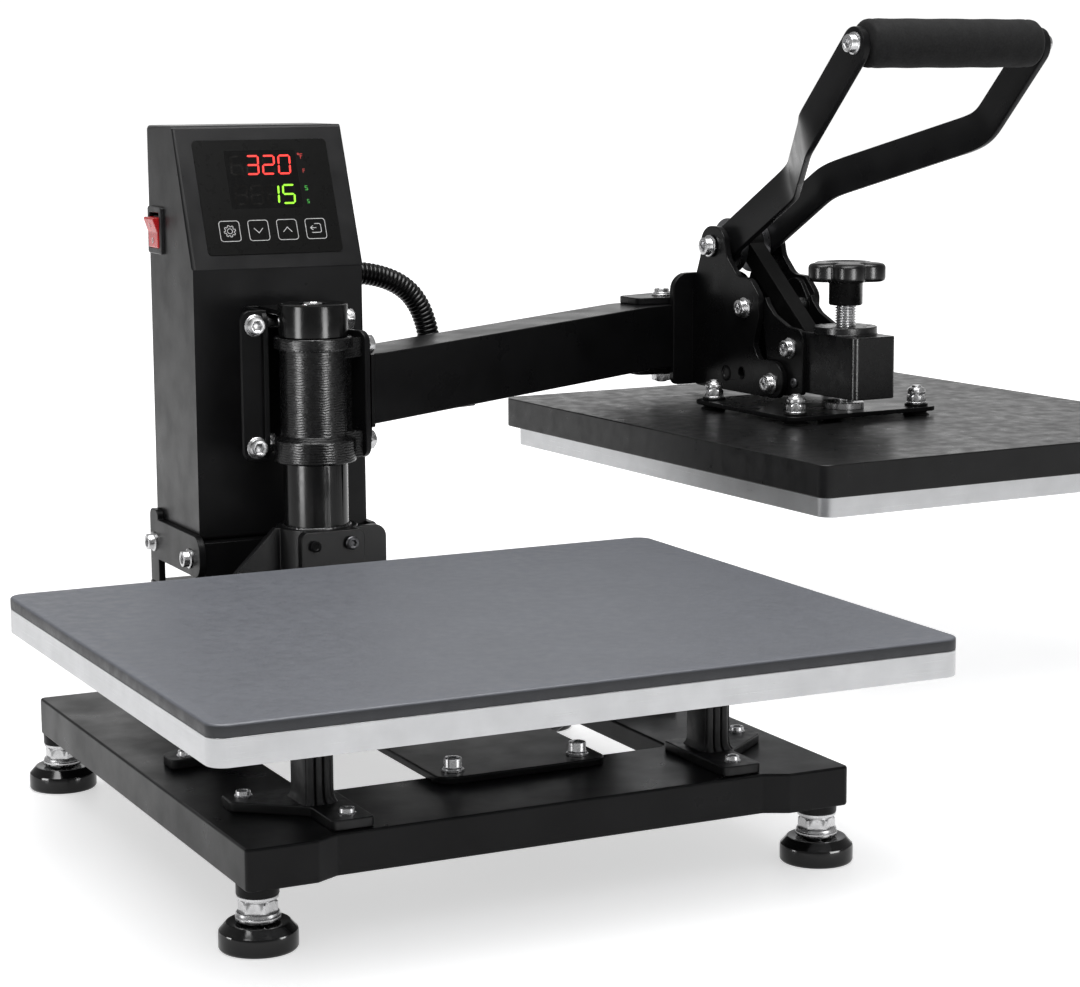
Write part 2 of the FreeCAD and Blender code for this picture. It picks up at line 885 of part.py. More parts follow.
def box_back_panel():
    """Rear cover inside the shell's rim, with vent slots and the inlet's cut-out."""
    left = box_left + box_shell
    right = box_right - box_shell
    low = box_bottom + box_shell
    panel = box(left, right, box_rear - box_shell, box_rear, low, box_top - box_shell)
    middle = (box_left + box_right) / 2
    for i in range(vent_count):
        z = vent_low + i * vent_pitch
        slot = rectangle(
            middle - vent_width / 2, middle + vent_width / 2, z, z + vent_slot, vent_slot / 2.05
        )
        panel = panel.cut(plate_y(slot, box_rear - box_shell, box_rear))
    half = inlet_width / 2 - 2
    tall = inlet_height / 2 - 2
    return panel.cut(box(
        middle - half, middle + half, box_rear - box_shell, box_rear, inlet_z - tall, inlet_z + tall
    ))


def mains_inlet():
    """Appliance inlet: flange, body and socket with three flat pins."""
    middle = (box_left + box_right) / 2
    half = inlet_width / 2
    tall = inlet_height / 2
    flange = plate_y(
        rectangle(middle - half, middle + half, inlet_z - tall, inlet_z + tall, 3),
        box_rear, box_rear + 2,
    )
    body = box(middle - half + 2, middle + half - 2, box_rear - 18, box_rear,
               inlet_z - tall + 2, inlet_z + tall - 2)
    hollow = box(middle - half + 4, middle + half - 4, box_rear - 14, box_rear + 2,
                 inlet_z - tall + 4, inlet_z + tall - 4)
    inlet = flange.fuse(body).cut(hollow)
    for x, z in inlet_pins:
        x0 = middle + x
        inlet = inlet.fuse(box(x0 - 1, x0 + 1, box_rear - 15, box_rear - 3, inlet_z + z - 2,
                               inlet_z + z + 2))
    return inlet.removeSplitter()


def control_board():
    """Board with the display block behind the window, held off the slope by pillars."""
    middle = (box_left + box_right) / 2
    back = box_shell + board_gap
    half = overlay_width / 2 - 2
    board = box(middle - half, middle + half, back, back + board_thick,
                overlay_low + 2, overlay_high - 2)
    centre = middle + window_shift
    show = window_width / 2 - 1
    board = board.fuse(box(
        centre - show, centre + show, box_shell, back, window_low + 1, window_high - 1
    ))
    for x in (middle - half + 4, middle + half - 4):
        for z in (overlay_low + 6, overlay_high - 6):
            board = board.fuse(bar(2.5, vec(x, box_shell, z), vec(x, back, z)))
    return on_slope(board.removeSplitter())


def display_overlay():
    middle = (box_left + box_right) / 2
    half = overlay_width / 2
    film = rectangle(middle - half, middle + half, overlay_low, overlay_high, 3)
    return on_slope(plate_y(film, -overlay_thick, 0))


def rocker_bezel():
    """Switch body through the box wall, with a rim outside and pin holes."""
    outer = box_left - bezel_proud
    rim = plate_x(rectangle(
        rocker_y - bezel_half_y, rocker_y + bezel_half_y,
        rocker_z - bezel_half_z, rocker_z + bezel_half_z, 1.5,
    ), outer, box_left)
    body_y = bezel_half_y - bezel_lip
    body_z = bezel_half_z - bezel_lip
    body = box(box_left, box_left + bezel_depth, rocker_y - body_y, rocker_y + body_y,
               rocker_z - body_z, rocker_z + body_z)
    well_y = bezel_half_y - bezel_wall
    well_z = bezel_half_z - bezel_wall
    well = box(outer, box_left + bezel_depth - 3, rocker_y - well_y, rocker_y + well_y,
               rocker_z - well_z, rocker_z + well_z)
    pivot_x = box_left + rocker_depth
    reach = well_y + 0.8
    pin = bar(rocker_pin + running, vec(pivot_x, rocker_y - reach, rocker_z),
              vec(pivot_x, rocker_y + reach, rocker_z))
    return rim.fuse(body).cut(well).cut(pin).removeSplitter()


def rocker_switch():
    """Rocker with two sloped faces on its pins, tilted to its off side."""
    pivot_x = box_left + rocker_depth
    half = bezel_half_y - bezel_wall - 0.2
    corners = [
        (pivot_x - 6.2, rocker_z + 6.5, 0.8), (pivot_x - 5.2, rocker_z, 0),
        (pivot_x - 6.2, rocker_z - 6.5, 0.8), (pivot_x + 2, rocker_z - 5, 1),
        (pivot_x + 4, rocker_z, 0), (pivot_x + 2, rocker_z + 5, 1),
    ]
    paddle = plate_y(corners, rocker_y - half, rocker_y + half)
    reach = bezel_half_y - bezel_wall + 0.6
    paddle = paddle.fuse(bar(rocker_pin, vec(pivot_x, rocker_y - reach, rocker_z),
                             vec(pivot_x, rocker_y + reach, rocker_z)))
    paddle.rotate(vec(pivot_x, rocker_y, rocker_z), vec(0, 1, 0), -rocker_tilt)
    return paddle


def box_hose_gland():
    start = vec(box_right - box_shell - 5, hose_y, hose_z)
    wall = vec(box_right, hose_y, hose_z)
    inside = vec(box_right - box_shell, hose_y, hose_z)
    end = vec(box_right + gland_proud, hose_y, hose_z)
    gland = bar(gland_radius - 2, start, end).fuse(bar(gland_radius, wall, end))
    nut = hexagon(2 * gland_radius + 2, inside - vec(3, 0, 0), inside)
    return gland.fuse(nut).cut(bar(hose_bore, start, end)).removeSplitter()


def hose_route():
    """Start, bend and end of the hose: straight, a quarter turn down, straight."""
    lead = 2 * hose_radius
    start = vec(box_right + gland_proud, hose_y, hose_z)
    bend_start = start + vec(lead, 0, 0)
    centre = bend_start - vec(0, 0, hose_bend)
    bend_end = centre + vec(hose_bend, 0, 0)
    end = bend_end - vec(0, 0, lead)
    return start, bend_start, centre, bend_end, end


def hose():
    """Corrugated hose: ribs as a ruled loft along its route, with a smooth bore."""
    start, bend_start, centre, bend_end, end = hose_route()
    lead = (bend_start - start).Length
    turn = hose_bend * math.pi / 2
    length = 2 * lead + turn
    count = int(round(length / hose_pitch))
    pitch = length / count

    def circle(at, radius):
        if at <= lead:
            place = start + vec(at, 0, 0)
            way = vec(1, 0, 0)
        elif at < lead + turn:
            angle = (at - lead) / hose_bend
            place = centre + vec(math.sin(angle), 0, math.cos(angle)) * hose_bend
            way = vec(math.cos(angle), 0, -math.sin(angle))
        else:
            place = bend_end - vec(0, 0, at - lead - turn)
            way = vec(0, 0, -1)
        ring = Part.Circle()
        ring.Radius = radius
        edge = ring.toShape()
        across = vec(0, 1, 0)
        edge.Placement = FreeCAD.Placement(
            place, FreeCAD.Rotation(across, way.cross(across), way, "XYZ")
        )
        return Part.Wire([edge])

    rings = []
    for i in range(count):
        for share, radius in ((0.0, hose_root), (0.25, hose_radius), (0.6, hose_radius),
                              (0.85, hose_root)):
            rings.append(circle((i + share) * pitch, radius))
    rings.append(circle(length, hose_root))
    ribs = Part.makeLoft(rings, True, True)
    path = Part.Wire([
        Part.makeLine(start, bend_start),
        Part.Arc(bend_start, centre + vec(1, 0, 1).normalize() * hose_bend, bend_end).toShape(),
        Part.makeLine(bend_end, end),
    ])
    bore = path.makePipeShell([circle(0, hose_bore)], True, False)
    print("hose length", round(length, 1), "mm, ribs", count, "bend radius", hose_bend,
          "least gap between turns", round(2 * (hose_bend - hose_radius), 1))
    print("hose bore volume", round(bore.Volume / (math.pi * hose_bore ** 2 * length), 4))
    return ribs.cut(bore)


def sleeve():
    """Turning sleeve with its collars and the pads that the arm's flange bolts to."""
    low = sleeve_bottom + low_collar_height
    high = sleeve_top - top_collar_height
    bore = spindle_radius + 1
    corners = [
        (bore, sleeve_bottom, 0), (low_collar_radius, sleeve_bottom, 1),
        (low_collar_radius, low, 0), (sleeve_radius, low + 3, 0), (sleeve_radius, high, 0),
        (top_collar_radius, high, 0), (top_collar_radius, sleeve_top, 1), (bore, sleeve_top, 0),
    ]
    solid = turned(corners, post_x, post_y)
    for z0, z1 in ((sleeve_bottom + 2, flange_bolt_low + 7), (flange_bolt_high - 7, sleeve_top - 1)):
        side_reach = flange_bolt_side + 5
        solid = solid.fuse(arm_box(8, flange_near, -side_reach, side_reach, z0, z1))
    web = arm_box(8, flange_near, -9, 9, flange_bolt_low, flange_bolt_high)
    solid = solid.fuse(web)
    flat = 2 * low_collar_radius
    solid = solid.cut(arm_box(flange_near, flat, -flat, flat, sleeve_bottom - 1, sleeve_top + 1))
    centre = vec(post_x, post_y, sleeve_bottom)
    solid = solid.cut(bar(bore, centre, vec(post_x, post_y, sleeve_top)))
    for z in (sleeve_bottom, sleeve_top - bush_length):
        start = vec(post_x, post_y, z)
        solid = solid.cut(bar(bush_radius, start, vec(post_x, post_y, z + bush_length)))
    for place in flange_bolt_places():
        start = arm_point(flange_near - flange_bolt_depth - 0.5, place[0], place[1])
        end = arm_point(flange_near, place[0], place[1])
        hole = bar(screw_radius + thread_gap, start, end)
        solid = solid.cut(hole)
    return swung(solid.removeSplitter())


def flange_bolt_places():
    places = []
    for across in (-flange_bolt_side, flange_bolt_side):
        for z in (flange_bolt_low, flange_bolt_high):
            places.append((across, z))
    return places


def sleeve_bushes():
    bushes = []
    for z in (sleeve_bottom, sleeve_top - bush_length):
        start = vec(post_x, post_y, z)
        end = vec(post_x, post_y, z + bush_length)
        bushes.append(swung(tube(bush_radius, spindle_radius + running, start, end)))
    return bushes


def arm_section(along, middle_z, inset):
    half = arm_width / 2 - inset
    tall = arm_height / 2 - inset
    points = [
        arm_point(along, -half, middle_z - tall), arm_point(along, half, middle_z - tall),
        arm_point(along, half, middle_z + tall), arm_point(along, -half, middle_z + tall),
    ]
    points.append(points[0])
    return Part.makePolygon(points)


def arm_tube():
    """Rectangular tube that rises and then runs level, with its bolted flange."""
    start = flange_near + flange_thick
    stations = ((start, arm_start_z), (arm_rise_end, arm_end_z), (arm_length, arm_end_z))
    outer = Part.makeLoft([arm_section(a, z, 0) for a, z in stations], True, True)
    inner = Part.makeLoft([arm_section(a, z, arm_wall) for a, z in stations], True, True)
    flange = arm_box(flange_near, start, -flange_half, flange_half, flange_low, flange_high)
    uprights = []
    for edge in flange.Edges:
        if edge.BoundBox.ZLength < 0.1 and edge.Length < flange_thick + 0.1:
            uprights.append(edge)
    flange = flange.makeFillet(7, uprights)
    edge = collar_plate_edge
    collar = arm_box(start, start + collar_plate_thick, -arm_width / 2 - edge,
                     arm_width / 2 + edge, arm_start_z - arm_height / 2 - edge,
                     arm_start_z + arm_height / 2)
    solid = flange.fuse(collar).fuse(outer).cut(inner)
    for across, z in flange_bolt_places():
        hole = bar(screw_radius + thread_gap, arm_point(flange_near, across, z),
                   arm_point(start, across, z))
        solid = solid.cut(hole)
    for along in head_bolt_places():
        low = arm_point(along, 0, arm_end_z - arm_height)
        high = arm_point(along, 0, arm_end_z + arm_height)
        solid = solid.cut(bar(screw_radius + thread_gap, low, high))
    drop = entry_place()
    mouth = arm_point(drop[0], 0, drop[1] - entry_half)
    hole = bar(hose_bore, mouth, arm_point(drop[0], arm_width, drop[1] - entry_half))
    return swung(solid.cut(hole))


def head_bolt_places():
    return (arm_length - 62, arm_length - 16)


def entry_place():
    """Where the hose comes down, along the arm, with its height and its way across."""
    end = hose_route()[4]
    angle = math.radians(arm_angle + rest_swing)
    dx = end.x - post_x
    dy = end.y - post_y
    along = dx * math.cos(angle) + dy * math.sin(angle)
    across = dy * math.cos(angle) - dx * math.sin(angle)
    return along, end.z, across


def arm_hose_gland():
    """Cable entry on the back of the arm: a rounded housing that the hose stands on."""
    along, top, across = entry_place()
    low = top - entry_drop
    face = arm_width / 2
    body = arm_box(along - entry_half, along + entry_half, face, across, low, top)
    body = body.fuse(bar(entry_half, arm_point(along, across, low), arm_point(along, across, top)))
    level = top - entry_half
    body = body.cut(bar(hose_bore, arm_point(along, across, level - 4),
                        arm_point(along, across, top)))
    body = body.cut(bar(hose_bore, arm_point(along, face - 1, level),
                        arm_point(along, across, level)))
    return swung(body.removeSplitter())


def head_bracket():
    """Clamp: rear plate between the side plates and two ears over and under the arm."""
    p_rear = clamp_front + clamp_plate_thick
    half = side_outer
    arm_top = arm_end_z + arm_height / 2
    arm_low = arm_end_z - arm_height / 2
    low, high = clamp_heights
    face = [
        (rod_x - half, low, 4), (rod_x + half, low, 4), (rod_x + half, high, 14),
        (rod_x - half, high, 14),
    ]
    bracket = plate_y(face, rod_y + clamp_front, rod_y + p_rear)
    rear = rod_y + p_rear
    ear = [(rod_x + half, rear, 0), (rod_x + half, rear + ear_reach, 6)]
    for lateral, back, radius in ear_corners:
        ear.append((rod_x + lateral, rear + back, radius))
    ear.append((rod_x - half - 4, rear, 0))
    for z in (arm_top, arm_low - ear_thick):
        bracket = bracket.fuse(plate_z(ear, z, z + ear_thick))
    for along in head_bolt_places():
        low = arm_point(along, 0, arm_low - ear_thick)
        high = arm_point(along, 0, arm_top + ear_thick)
        bracket = bracket.cut(bar(screw_radius + thread_gap, low, high))
    return swung(bracket.removeSplitter())


def arm_bolts():
    """Four flange bolts and the two clamp bolts with their nuts."""
    bolts = []
    start = flange_near + flange_thick
    inward = arm_point(0, 0, 0) - arm_point(1, 0, 0)
    grip = flange_thick + flange_bolt_depth
    for across, z in flange_bolt_places():
        seat = arm_point(start, across, z)
        bolts.append(swung(cap_bolt(seat, inward, grip, screw_radius)))
    top = arm_end_z + arm_height / 2 + ear_thick
    low = arm_end_z - arm_height / 2 - ear_thick
    for along in head_bolt_places():
        seat = arm_point(along, 0, top)
        grip = top - low + 2 * screw_radius
        bolts.append(swung(cap_bolt(seat, vec(0, 0, -1), grip, screw_radius)))
        nut = hex_nut(arm_point(along, 0, low), vec(0, 0, -1), screw_radius)
        bolts.append(swung(nut))
    return bolts


def side_plate(sign):
    """Profile plate of the head, with the doubler round the stub bolt."""
    near = sign * side_inner
    far = sign * side_outer
    plate = profile_plate(side_outline, min(near, far), max(near, far))
    inner = sign * (bar_outer + cheek_gap)
    plate = plate.fuse(profile_plate(doubler_outline, min(inner, near), max(inner, near)))
    bores = (
        (pivot_handle, trunnion_radius + running), (pivot_stub, screw_radius + thread_gap),
        (pivot_press, press_pin_radius + running), (tie_place, screw_radius + thread_gap),
        (open_hole, screw_radius),
    )
    for place, radius in bores:
        plate = plate.cut(cross_bar(radius, place, min(inner, far) - 1, max(inner, far) + 1))
    return swung(plate.removeSplitter())


def pivot_bolts():
    """Press pin with its heads, stub bolts with nuts, and the tie bolt."""
    bolts = []
    pin = cross_bar(press_pin_radius, pivot_press, -side_outer, side_outer)
    for sign in (-1, 1):
        head = cross_bar(1.6 * press_pin_radius, pivot_press, sign * side_outer,
                         sign * (side_outer + 4))
        pin = pin.fuse(head)
    bolts.append(swung(pin.removeSplitter()))
    for sign in (-1, 1):
        seat = side(sign * side_outer, pivot_stub[0], pivot_stub[1])
        inward = vec(-sign, 0, 0)
        grip = side_outer - disc_outer + 1
        bolts.append(swung(cap_bolt(seat, inward, grip, screw_radius)))
        nut_seat = side(sign * (bar_outer + cheek_gap), pivot_stub[0], pivot_stub[1])
        bolts.append(swung(hex_nut(nut_seat, inward, 0.8 * screw_radius)))
    seat = side(-side_outer, tie_place[0], tie_place[1])
    tie = cap_bolt(seat, vec(1, 0, 0), 2 * side_outer + 8, screw_radius)
    nut = hex_nut(side(side_outer, tie_place[0], tie_place[1]), vec(1, 0, 0), screw_radius)
    bolts.append(swung(tie))
    bolts.append(swung(nut))
    return bolts


def cross_spacers():
    """Tubes on the press pin and the tie bolt, and washers on the handle's trunnions."""
    spacers = []
    reach = bar_outer - 0.2
    p, z = pivot_press
    spacers.append(tube(spacer_tube_radius, press_pin_radius + running,
                        side(-reach, p, z), side(reach, p, z)))
    p, z = tie_place
    spacers.append(tube(spacer_tube_radius, screw_radius + running,
                        side(-side_inner, p, z), side(side_inner, p, z)))
    p, z = pivot_handle
    for sign in (-1, 1):
        spacers.append(tube(9.0, trunnion_radius + running, side(sign * (bar_outer + 0.2), p, z),
                            side(sign * side_inner, p, z)))
    return [swung(piece) for piece in spacers]


def crank_point():
    angle = math.radians(crank_angle)
    p = pivot_handle[0] + crank_radius * math.cos(angle)
    z = pivot_handle[1] + crank_radius * math.sin(angle)
    return p, z


def handle_hub():
    """Crank: two discs on the trunnions, joined by the crank pin."""
    hub = cross_bar(link_pin_radius, crank_point(), -disc_outer, disc_outer)
    for sign in (-1, 1):
        hub = hub.fuse(cross_bar(crank_disc_radius, pivot_handle, sign * disc_inner,
                                 sign * disc_outer))
        hub = hub.fuse(cross_bar(trunnion_radius, pivot_handle, sign * disc_outer,
                                 sign * (side_outer + 1)))
    return swung(hub.removeSplitter())


def handle_bar(sign):
    """Flat bar, thickness sideways, that steps out between its second and third bend."""
    count = len(handle_bends)
    sections = []
    for i in range(count):
        p, z = handle_bends[i]
        before = handle_bends[max(i - 1, 0)]
        after = handle_bends[min(i + 1, count - 1)]
        way = vec(0, after[0] - before[0], after[1] - before[1]).normalize()
        up = vec(0, -way.z, way.y) * (bar_height / 2)
        if 0 < i < count - 1:
            last = vec(0, p - before[0], z - before[1]).normalize()
            up = up * (1 / math.cos(last.getAngle(way)))
        middle = side(sign * handle_spread[i], pivot_handle[0] + p, pivot_handle[1] + z)
        half = vec(bar_thick / 2, 0, 0)
        points = [middle - up - half, middle - up + half, middle + up + half, middle + up - half]
        points.append(points[0])
        sections.append(Part.makePolygon(points))
    strip = Part.makeLoft(sections, True, True)
    root = sign * handle_spread[0]
    tip = sign * handle_spread[-1]
    end = (pivot_handle[0] + handle_bends[-1][0], pivot_handle[1] + handle_bends[-1][1])
    half = bar_thick / 2
    strip = strip.fuse(cross_bar(bar_height / 2, pivot_handle, root - half, root + half))
    strip = strip.fuse(cross_bar(bar_height / 2, end, tip - half, tip + half))
    strip = strip.cut(cross_bar(trunnion_radius + running, pivot_handle, root - 5, root + 5))
    strip = strip.cut(cross_bar(screw_radius + thread_gap, end, tip - 5, tip + 5))
    return swung(strip.removeSplitter())


def grip_end():
    p, z = handle_bends[-1]
    return pivot_handle[0] + p, pivot_handle[1] + z


def grip_rod():
    reach = handle_spread[-1] - bar_thick / 2
    rod = cross_bar(grip_rod_radius, grip_end(), -reach, reach)
    return swung(rod)


def foam_grip():
    half = grip_length / 2
    p, z = grip_end()
    sleeve_tube = tube(grip_radius, grip_rod_radius + running, side(-half, p, z), side(half, p, z))
    return swung(sleeve_tube)


def handle_bolts():
    """Bolts at the grip's ends and the caps on the trunnions."""
    bolts = []
    for sign in (-1, 1):
        p, z = grip_end()
        seat = side(sign * (handle_spread[-1] + bar_thick / 2), p, z)
        bolts.append(swung(cap_bolt(seat, vec(-sign, 0, 0), bar_thick, screw_radius)))
        p, z = pivot_handle
        near = side(sign * (side_outer + 1), p, z)
        far = side(sign * (side_outer + 7.5), p, z)
        key_start = side(sign * (side_outer + 4), p, z)
        cap = bar(8.0, near, far).cut(hexagon(6.0, key_start, far))
        bolts.append(swung(cap))
    return bolts


def toggle_link():
    """Link from the crank pin to the press arm's pin, an eye at each end."""
    top = crank_point()
    low = pivot_link
    way = vec(0, top[0] - low[0], top[1] - low[1]).normalize()
    up = vec(0, -way.z, way.y) * (link_shank / 2)
    start = side(-link_half, low[0], low[1])
    end = side(-link_half, top[0], top[1])
    points = [start - up, end - up, end + up, start + up, start - up]
    link = Part.Face(Part.makePolygon(points)).extrude(vec(2 * link_half, 0, 0))
    for place in (top, low):
        link = link.fuse(cross_bar(link_eye_radius, place, -link_half, link_half))
    link = link.cut(cross_bar(link_pin_radius + running, top, -link_half, link_half))
    link = link.cut(cross_bar(link_open_bore, low, -link_half, link_half))
    return swung(link.removeSplitter())


def cheek(sign):
    """Cheek plate that carries the press arm on its pin."""
    near = sign * bar_outer
    far = sign * cheek_outer
    plate = profile_plate(cheek_outline, min(near, far), max(near, far))
    for place, radius in (
        (pivot_link, link_pin_radius + running), (pivot_press, press_pin_radius + running),
        (cheek_bolt_place, cheek_bolt_radius + thread_gap),
    ):
        plate = plate.cut(cross_bar(radius, place, min(near, far), max(near, far)))
    return swung(plate)


def cheek_bolts():
    """Link pin across the cheeks and the bolts that hold the cheeks on the block."""
    reach = cheek_outer - 0.2
    bolts = [swung(cross_bar(link_pin_radius, pivot_link, -reach, reach))]
    for sign in (-1, 1):
        seat_at = sign * (cheek_outer - 0.2)
        end_at = sign * (bar_outer - block_wall)
        bolts.append(swung(cross_bar(cheek_bolt_radius, cheek_bolt_place, seat_at, end_at)))
    return bolts


def press_arm():
    """Square tube, closed in front, with the flanged nut of the pressure screw."""
    corners = rectangle(
        rod_x - bar_outer, rod_x + bar_outer, rod_y + block_front, rod_y + block_rear, 0
    )
    corners[0] = (corners[0][0], corners[0][1], block_round)
    corners[1] = (corners[1][0], corners[1][1], block_round)
    block = plate_z(corners, block_low, block_high)
    inner = bar_outer - block_wall
    room = box(rod_x - inner, rod_x + inner, rod_y + block_front + block_wall,
               rod_y + block_rear, block_low + block_wall, block_high - block_wall)
    notch = box(rod_x - inner, rod_x + inner, rod_y + block_notch, rod_y + block_rear,
                block_high - block_wall - 1, block_high)
    block = block.cut(room).cut(notch)
    flange_top = block_high + press_flange_thick
    lower = vec(rod_x, rod_y, block_high - block_wall)
    block = block.fuse(bar(press_flange_radius, vec(rod_x, rod_y, block_high),
                           vec(rod_x, rod_y, flange_top)))
    block = block.cut(box(
        rod_x - inner, rod_x + inner, rod_y + block_notch, rod_y + block_rear, block_high,
        flange_top,
    ))
    sleeve_nut = bar(pressure_radius + 4, lower - vec(0, 0, 8), lower)
    block = block.fuse(sleeve_nut)
    block = block.cut(bar(pressure_radius + running, vec(rod_x, rod_y, block_low),
                          vec(rod_x, rod_y, flange_top)))
    for sign in (-1, 1):
        block = block.cut(cross_bar(link_pin_radius + running, pivot_link, sign * inner,
                                    sign * bar_outer))
        block = block.cut(cross_bar(cheek_bolt_radius + thread_gap, cheek_bolt_place, sign * inner,
                                    sign * bar_outer))
    return swung(block.removeSplitter())


def ball_z():
    return mount_top + ball_radius + seat_gap


def pressure_screw():
    """Threaded rod with a ball end that the head hangs on."""
    low = ball_z()
    high = knob_high - 5
    rod = bar(pressure_radius, vec(rod_x, rod_y, low), vec(rod_x, rod_y, high))
    ball = Part.makeSphere(ball_radius, vec(rod_x, rod_y, low))
    return swung(rod.fuse(ball).removeSplitter())


def star_knob():
    """Star knob: a hub and a domed top with lobes round its edge."""
    hub = bar(knob_hub_radius, vec(rod_x, rod_y, knob_hub_low), vec(rod_x, rod_y, knob_low))
    corners = [
        (0, knob_low, 0), (knob_radius - 2, knob_low, 0), (knob_radius, knob_low + 3, 2),
        (knob_radius, knob_high - 4, 3), (knob_radius - 8, knob_high, 6), (0, knob_high, 0),
    ]
    knob = hub.fuse(turned(corners, rod_x, rod_y))
    for i in range(knob_lobes):
        angle = 2 * math.pi * i / knob_lobes
        x = rod_x + (knob_radius - knob_lobe / 2) * math.cos(angle)
        y = rod_y + (knob_radius - knob_lobe / 2) * math.sin(angle)
        lobe = Part.makeCone(knob_lobe - 0.6, knob_lobe, 4, vec(x, y, knob_low))
        knob = knob.fuse(lobe)
        knob = knob.fuse(bar(knob_lobe, vec(x, y, knob_low + 4), vec(x, y, knob_high - 5)))
    bore_top = knob_high - 5 + seat_gap
    knob = knob.cut(bar(pressure_radius + running, vec(rod_x, rod_y, knob_hub_low),
                        vec(rod_x, rod_y, bore_top)))
    return swung(knob.removeSplitter())


def stud_places():
    places = []
    for lateral in (-stud_side, stud_side):
        for p in (stud_front, stud_rear):
            places.append((rod_x + lateral, rod_y + p))
    return places


def mount_plate():
    half = mount_size / 2
    front = rod_y + mount_front
    corners = rectangle(rod_x - half, rod_x + half, front, front + mount_size, mount_corner)
    plate = plate_z(corners, mount_low, mount_top)
    for x, y in stud_places():
        plate = plate.cut(bar(stud_radius + thread_gap, vec(x, y, mount_low),
                              vec(x, y, mount_top)))
    return swung(plate)


def head_studs():
    """Studs with washer, nut and dome, and the ring that holds the screw's ball."""
    studs = []
    heater_top = head_gap + heater_floor
    for x, y in stud_places():
        stud = bar(stud_radius, vec(x, y, heater_top), vec(x, y, mount_top))
        washer_top = mount_top + 1.5
        stud = stud.fuse(bar(8.0, vec(x, y, mount_top), vec(x, y, washer_top)))
        stud = stud.fuse(hexagon(12.0, vec(x, y, washer_top), vec(x, y, washer_top + 5)))
        dome = Part.makeCone(5.2, 2.5, 3.5, vec(x, y, washer_top + 5))
        studs.append(swung(stud.fuse(dome).removeSplitter()))
    ring = tube(socket_ring_radius, ball_radius + 0.3, vec(rod_x, rod_y, mount_top),
                vec(rod_x, rod_y, mount_top + socket_ring_height))
    studs.append(swung(ring))
    return studs


def rubber_spacers():
    spacers = []
    for x, y in stud_places():
        corners = [
            (stud_radius + thread_gap, cover_top, 0), (spacer_radius + 1.5, cover_top, 0),
            (spacer_radius, mount_low, 0), (stud_radius + thread_gap, mount_low, 0),
        ]
        spacers.append(swung(turned(corners, x, y)))
    return spacers


def head_rectangle(width, depth, radius):
    return rectangle(head_x - width / 2, head_x + width / 2, head_y - depth / 2,
                     head_y + depth / 2, radius)


def top_cover():
    """Cover over the heater, open below."""
    low = head_gap + heater_thick
    cover = plate_z(head_rectangle(cover_width, cover_depth, cover_corner), low, cover_top)
    shell = 2 * cover_shell
    room = head_rectangle(cover_width - shell, cover_depth - shell, cover_corner - cover_shell)
    cover = cover.cut(plate_z(room, low, cover_inner_top))
    for x, y in stud_places():
        cover = cover.cut(bar(stud_radius + thread_gap, vec(x, y, cover_inner_top),
                              vec(x, y, cover_top)))
    return swung(cover)


def insulation():
    """Insulating board between the heater and the cover, with a lip that carries it."""
    low = head_gap + heater_thick
    width = platen_depth
    depth = platen_width
    board = plate_z(head_rectangle(width, depth, platen_corner), low, low + insulation_thick)
    rim = plate_z(head_rectangle(width, depth, platen_corner), low, cover_inner_top)
    inner = plate_z(head_rectangle(width - 20, depth - 20, 4), low, cover_inner_top)
    board = board.fuse(rim.cut(inner))
    for x, y in stud_places():
        board = board.cut(bar(stud_radius + thread_gap, vec(x, y, low), vec(x, y, cover_top)))
    return swung(board.removeSplitter())


def heating_element():
    """Flat element that runs to and fro across the heater plate."""
    low = head_gap + heater_floor
    half_x = platen_depth / 2 - heater_rim - 12
    half_y = platen_width / 2 - heater_rim - 14
    pitch = 2 * half_y / (element_passes - 1)
    strips = []
    for i in range(element_passes):
        y = head_y - half_y + i * pitch
        strips.append(box(head_x - half_x, head_x + half_x, y - element_strip / 2,
                          y + element_strip / 2, low, low + element_height))
        if i < element_passes - 1:
            x = head_x + half_x if i % 2 == 0 else head_x - half_x + element_strip
            strips.append(box(x - element_strip, x, y, y + pitch, low, low + element_height))
    element = strips[0].multiFuse(strips[1:]).removeSplitter()
    for x, y in stud_places():
        element = element.cut(bar(stud_radius + 3, vec(x, y, low), vec(x, y, low + 9)))
    return swung(element)


def heater_plate():
    """Upper platen with a rim round the element."""
    top = head_gap + heater_thick
    plate = plate_z(head_rectangle(platen_depth, platen_width, platen_corner), head_gap, top)
    rim = 2 * heater_rim
    room = head_rectangle(platen_depth - rim, platen_width - rim, 4)
    plate = plate.cut(plate_z(room, head_gap + heater_floor, top))
    return swung(plate)


def write(name, shape):
    """Write one sub-part; a list is a group of separate solids."""
    if isinstance(shape, list):
        shape = Part.makeCompound(shape)
    if not shape.isValid():
        raise ValueError("not a valid shape: " + name)
    shape.exportStep("parts/" + name + ".step")


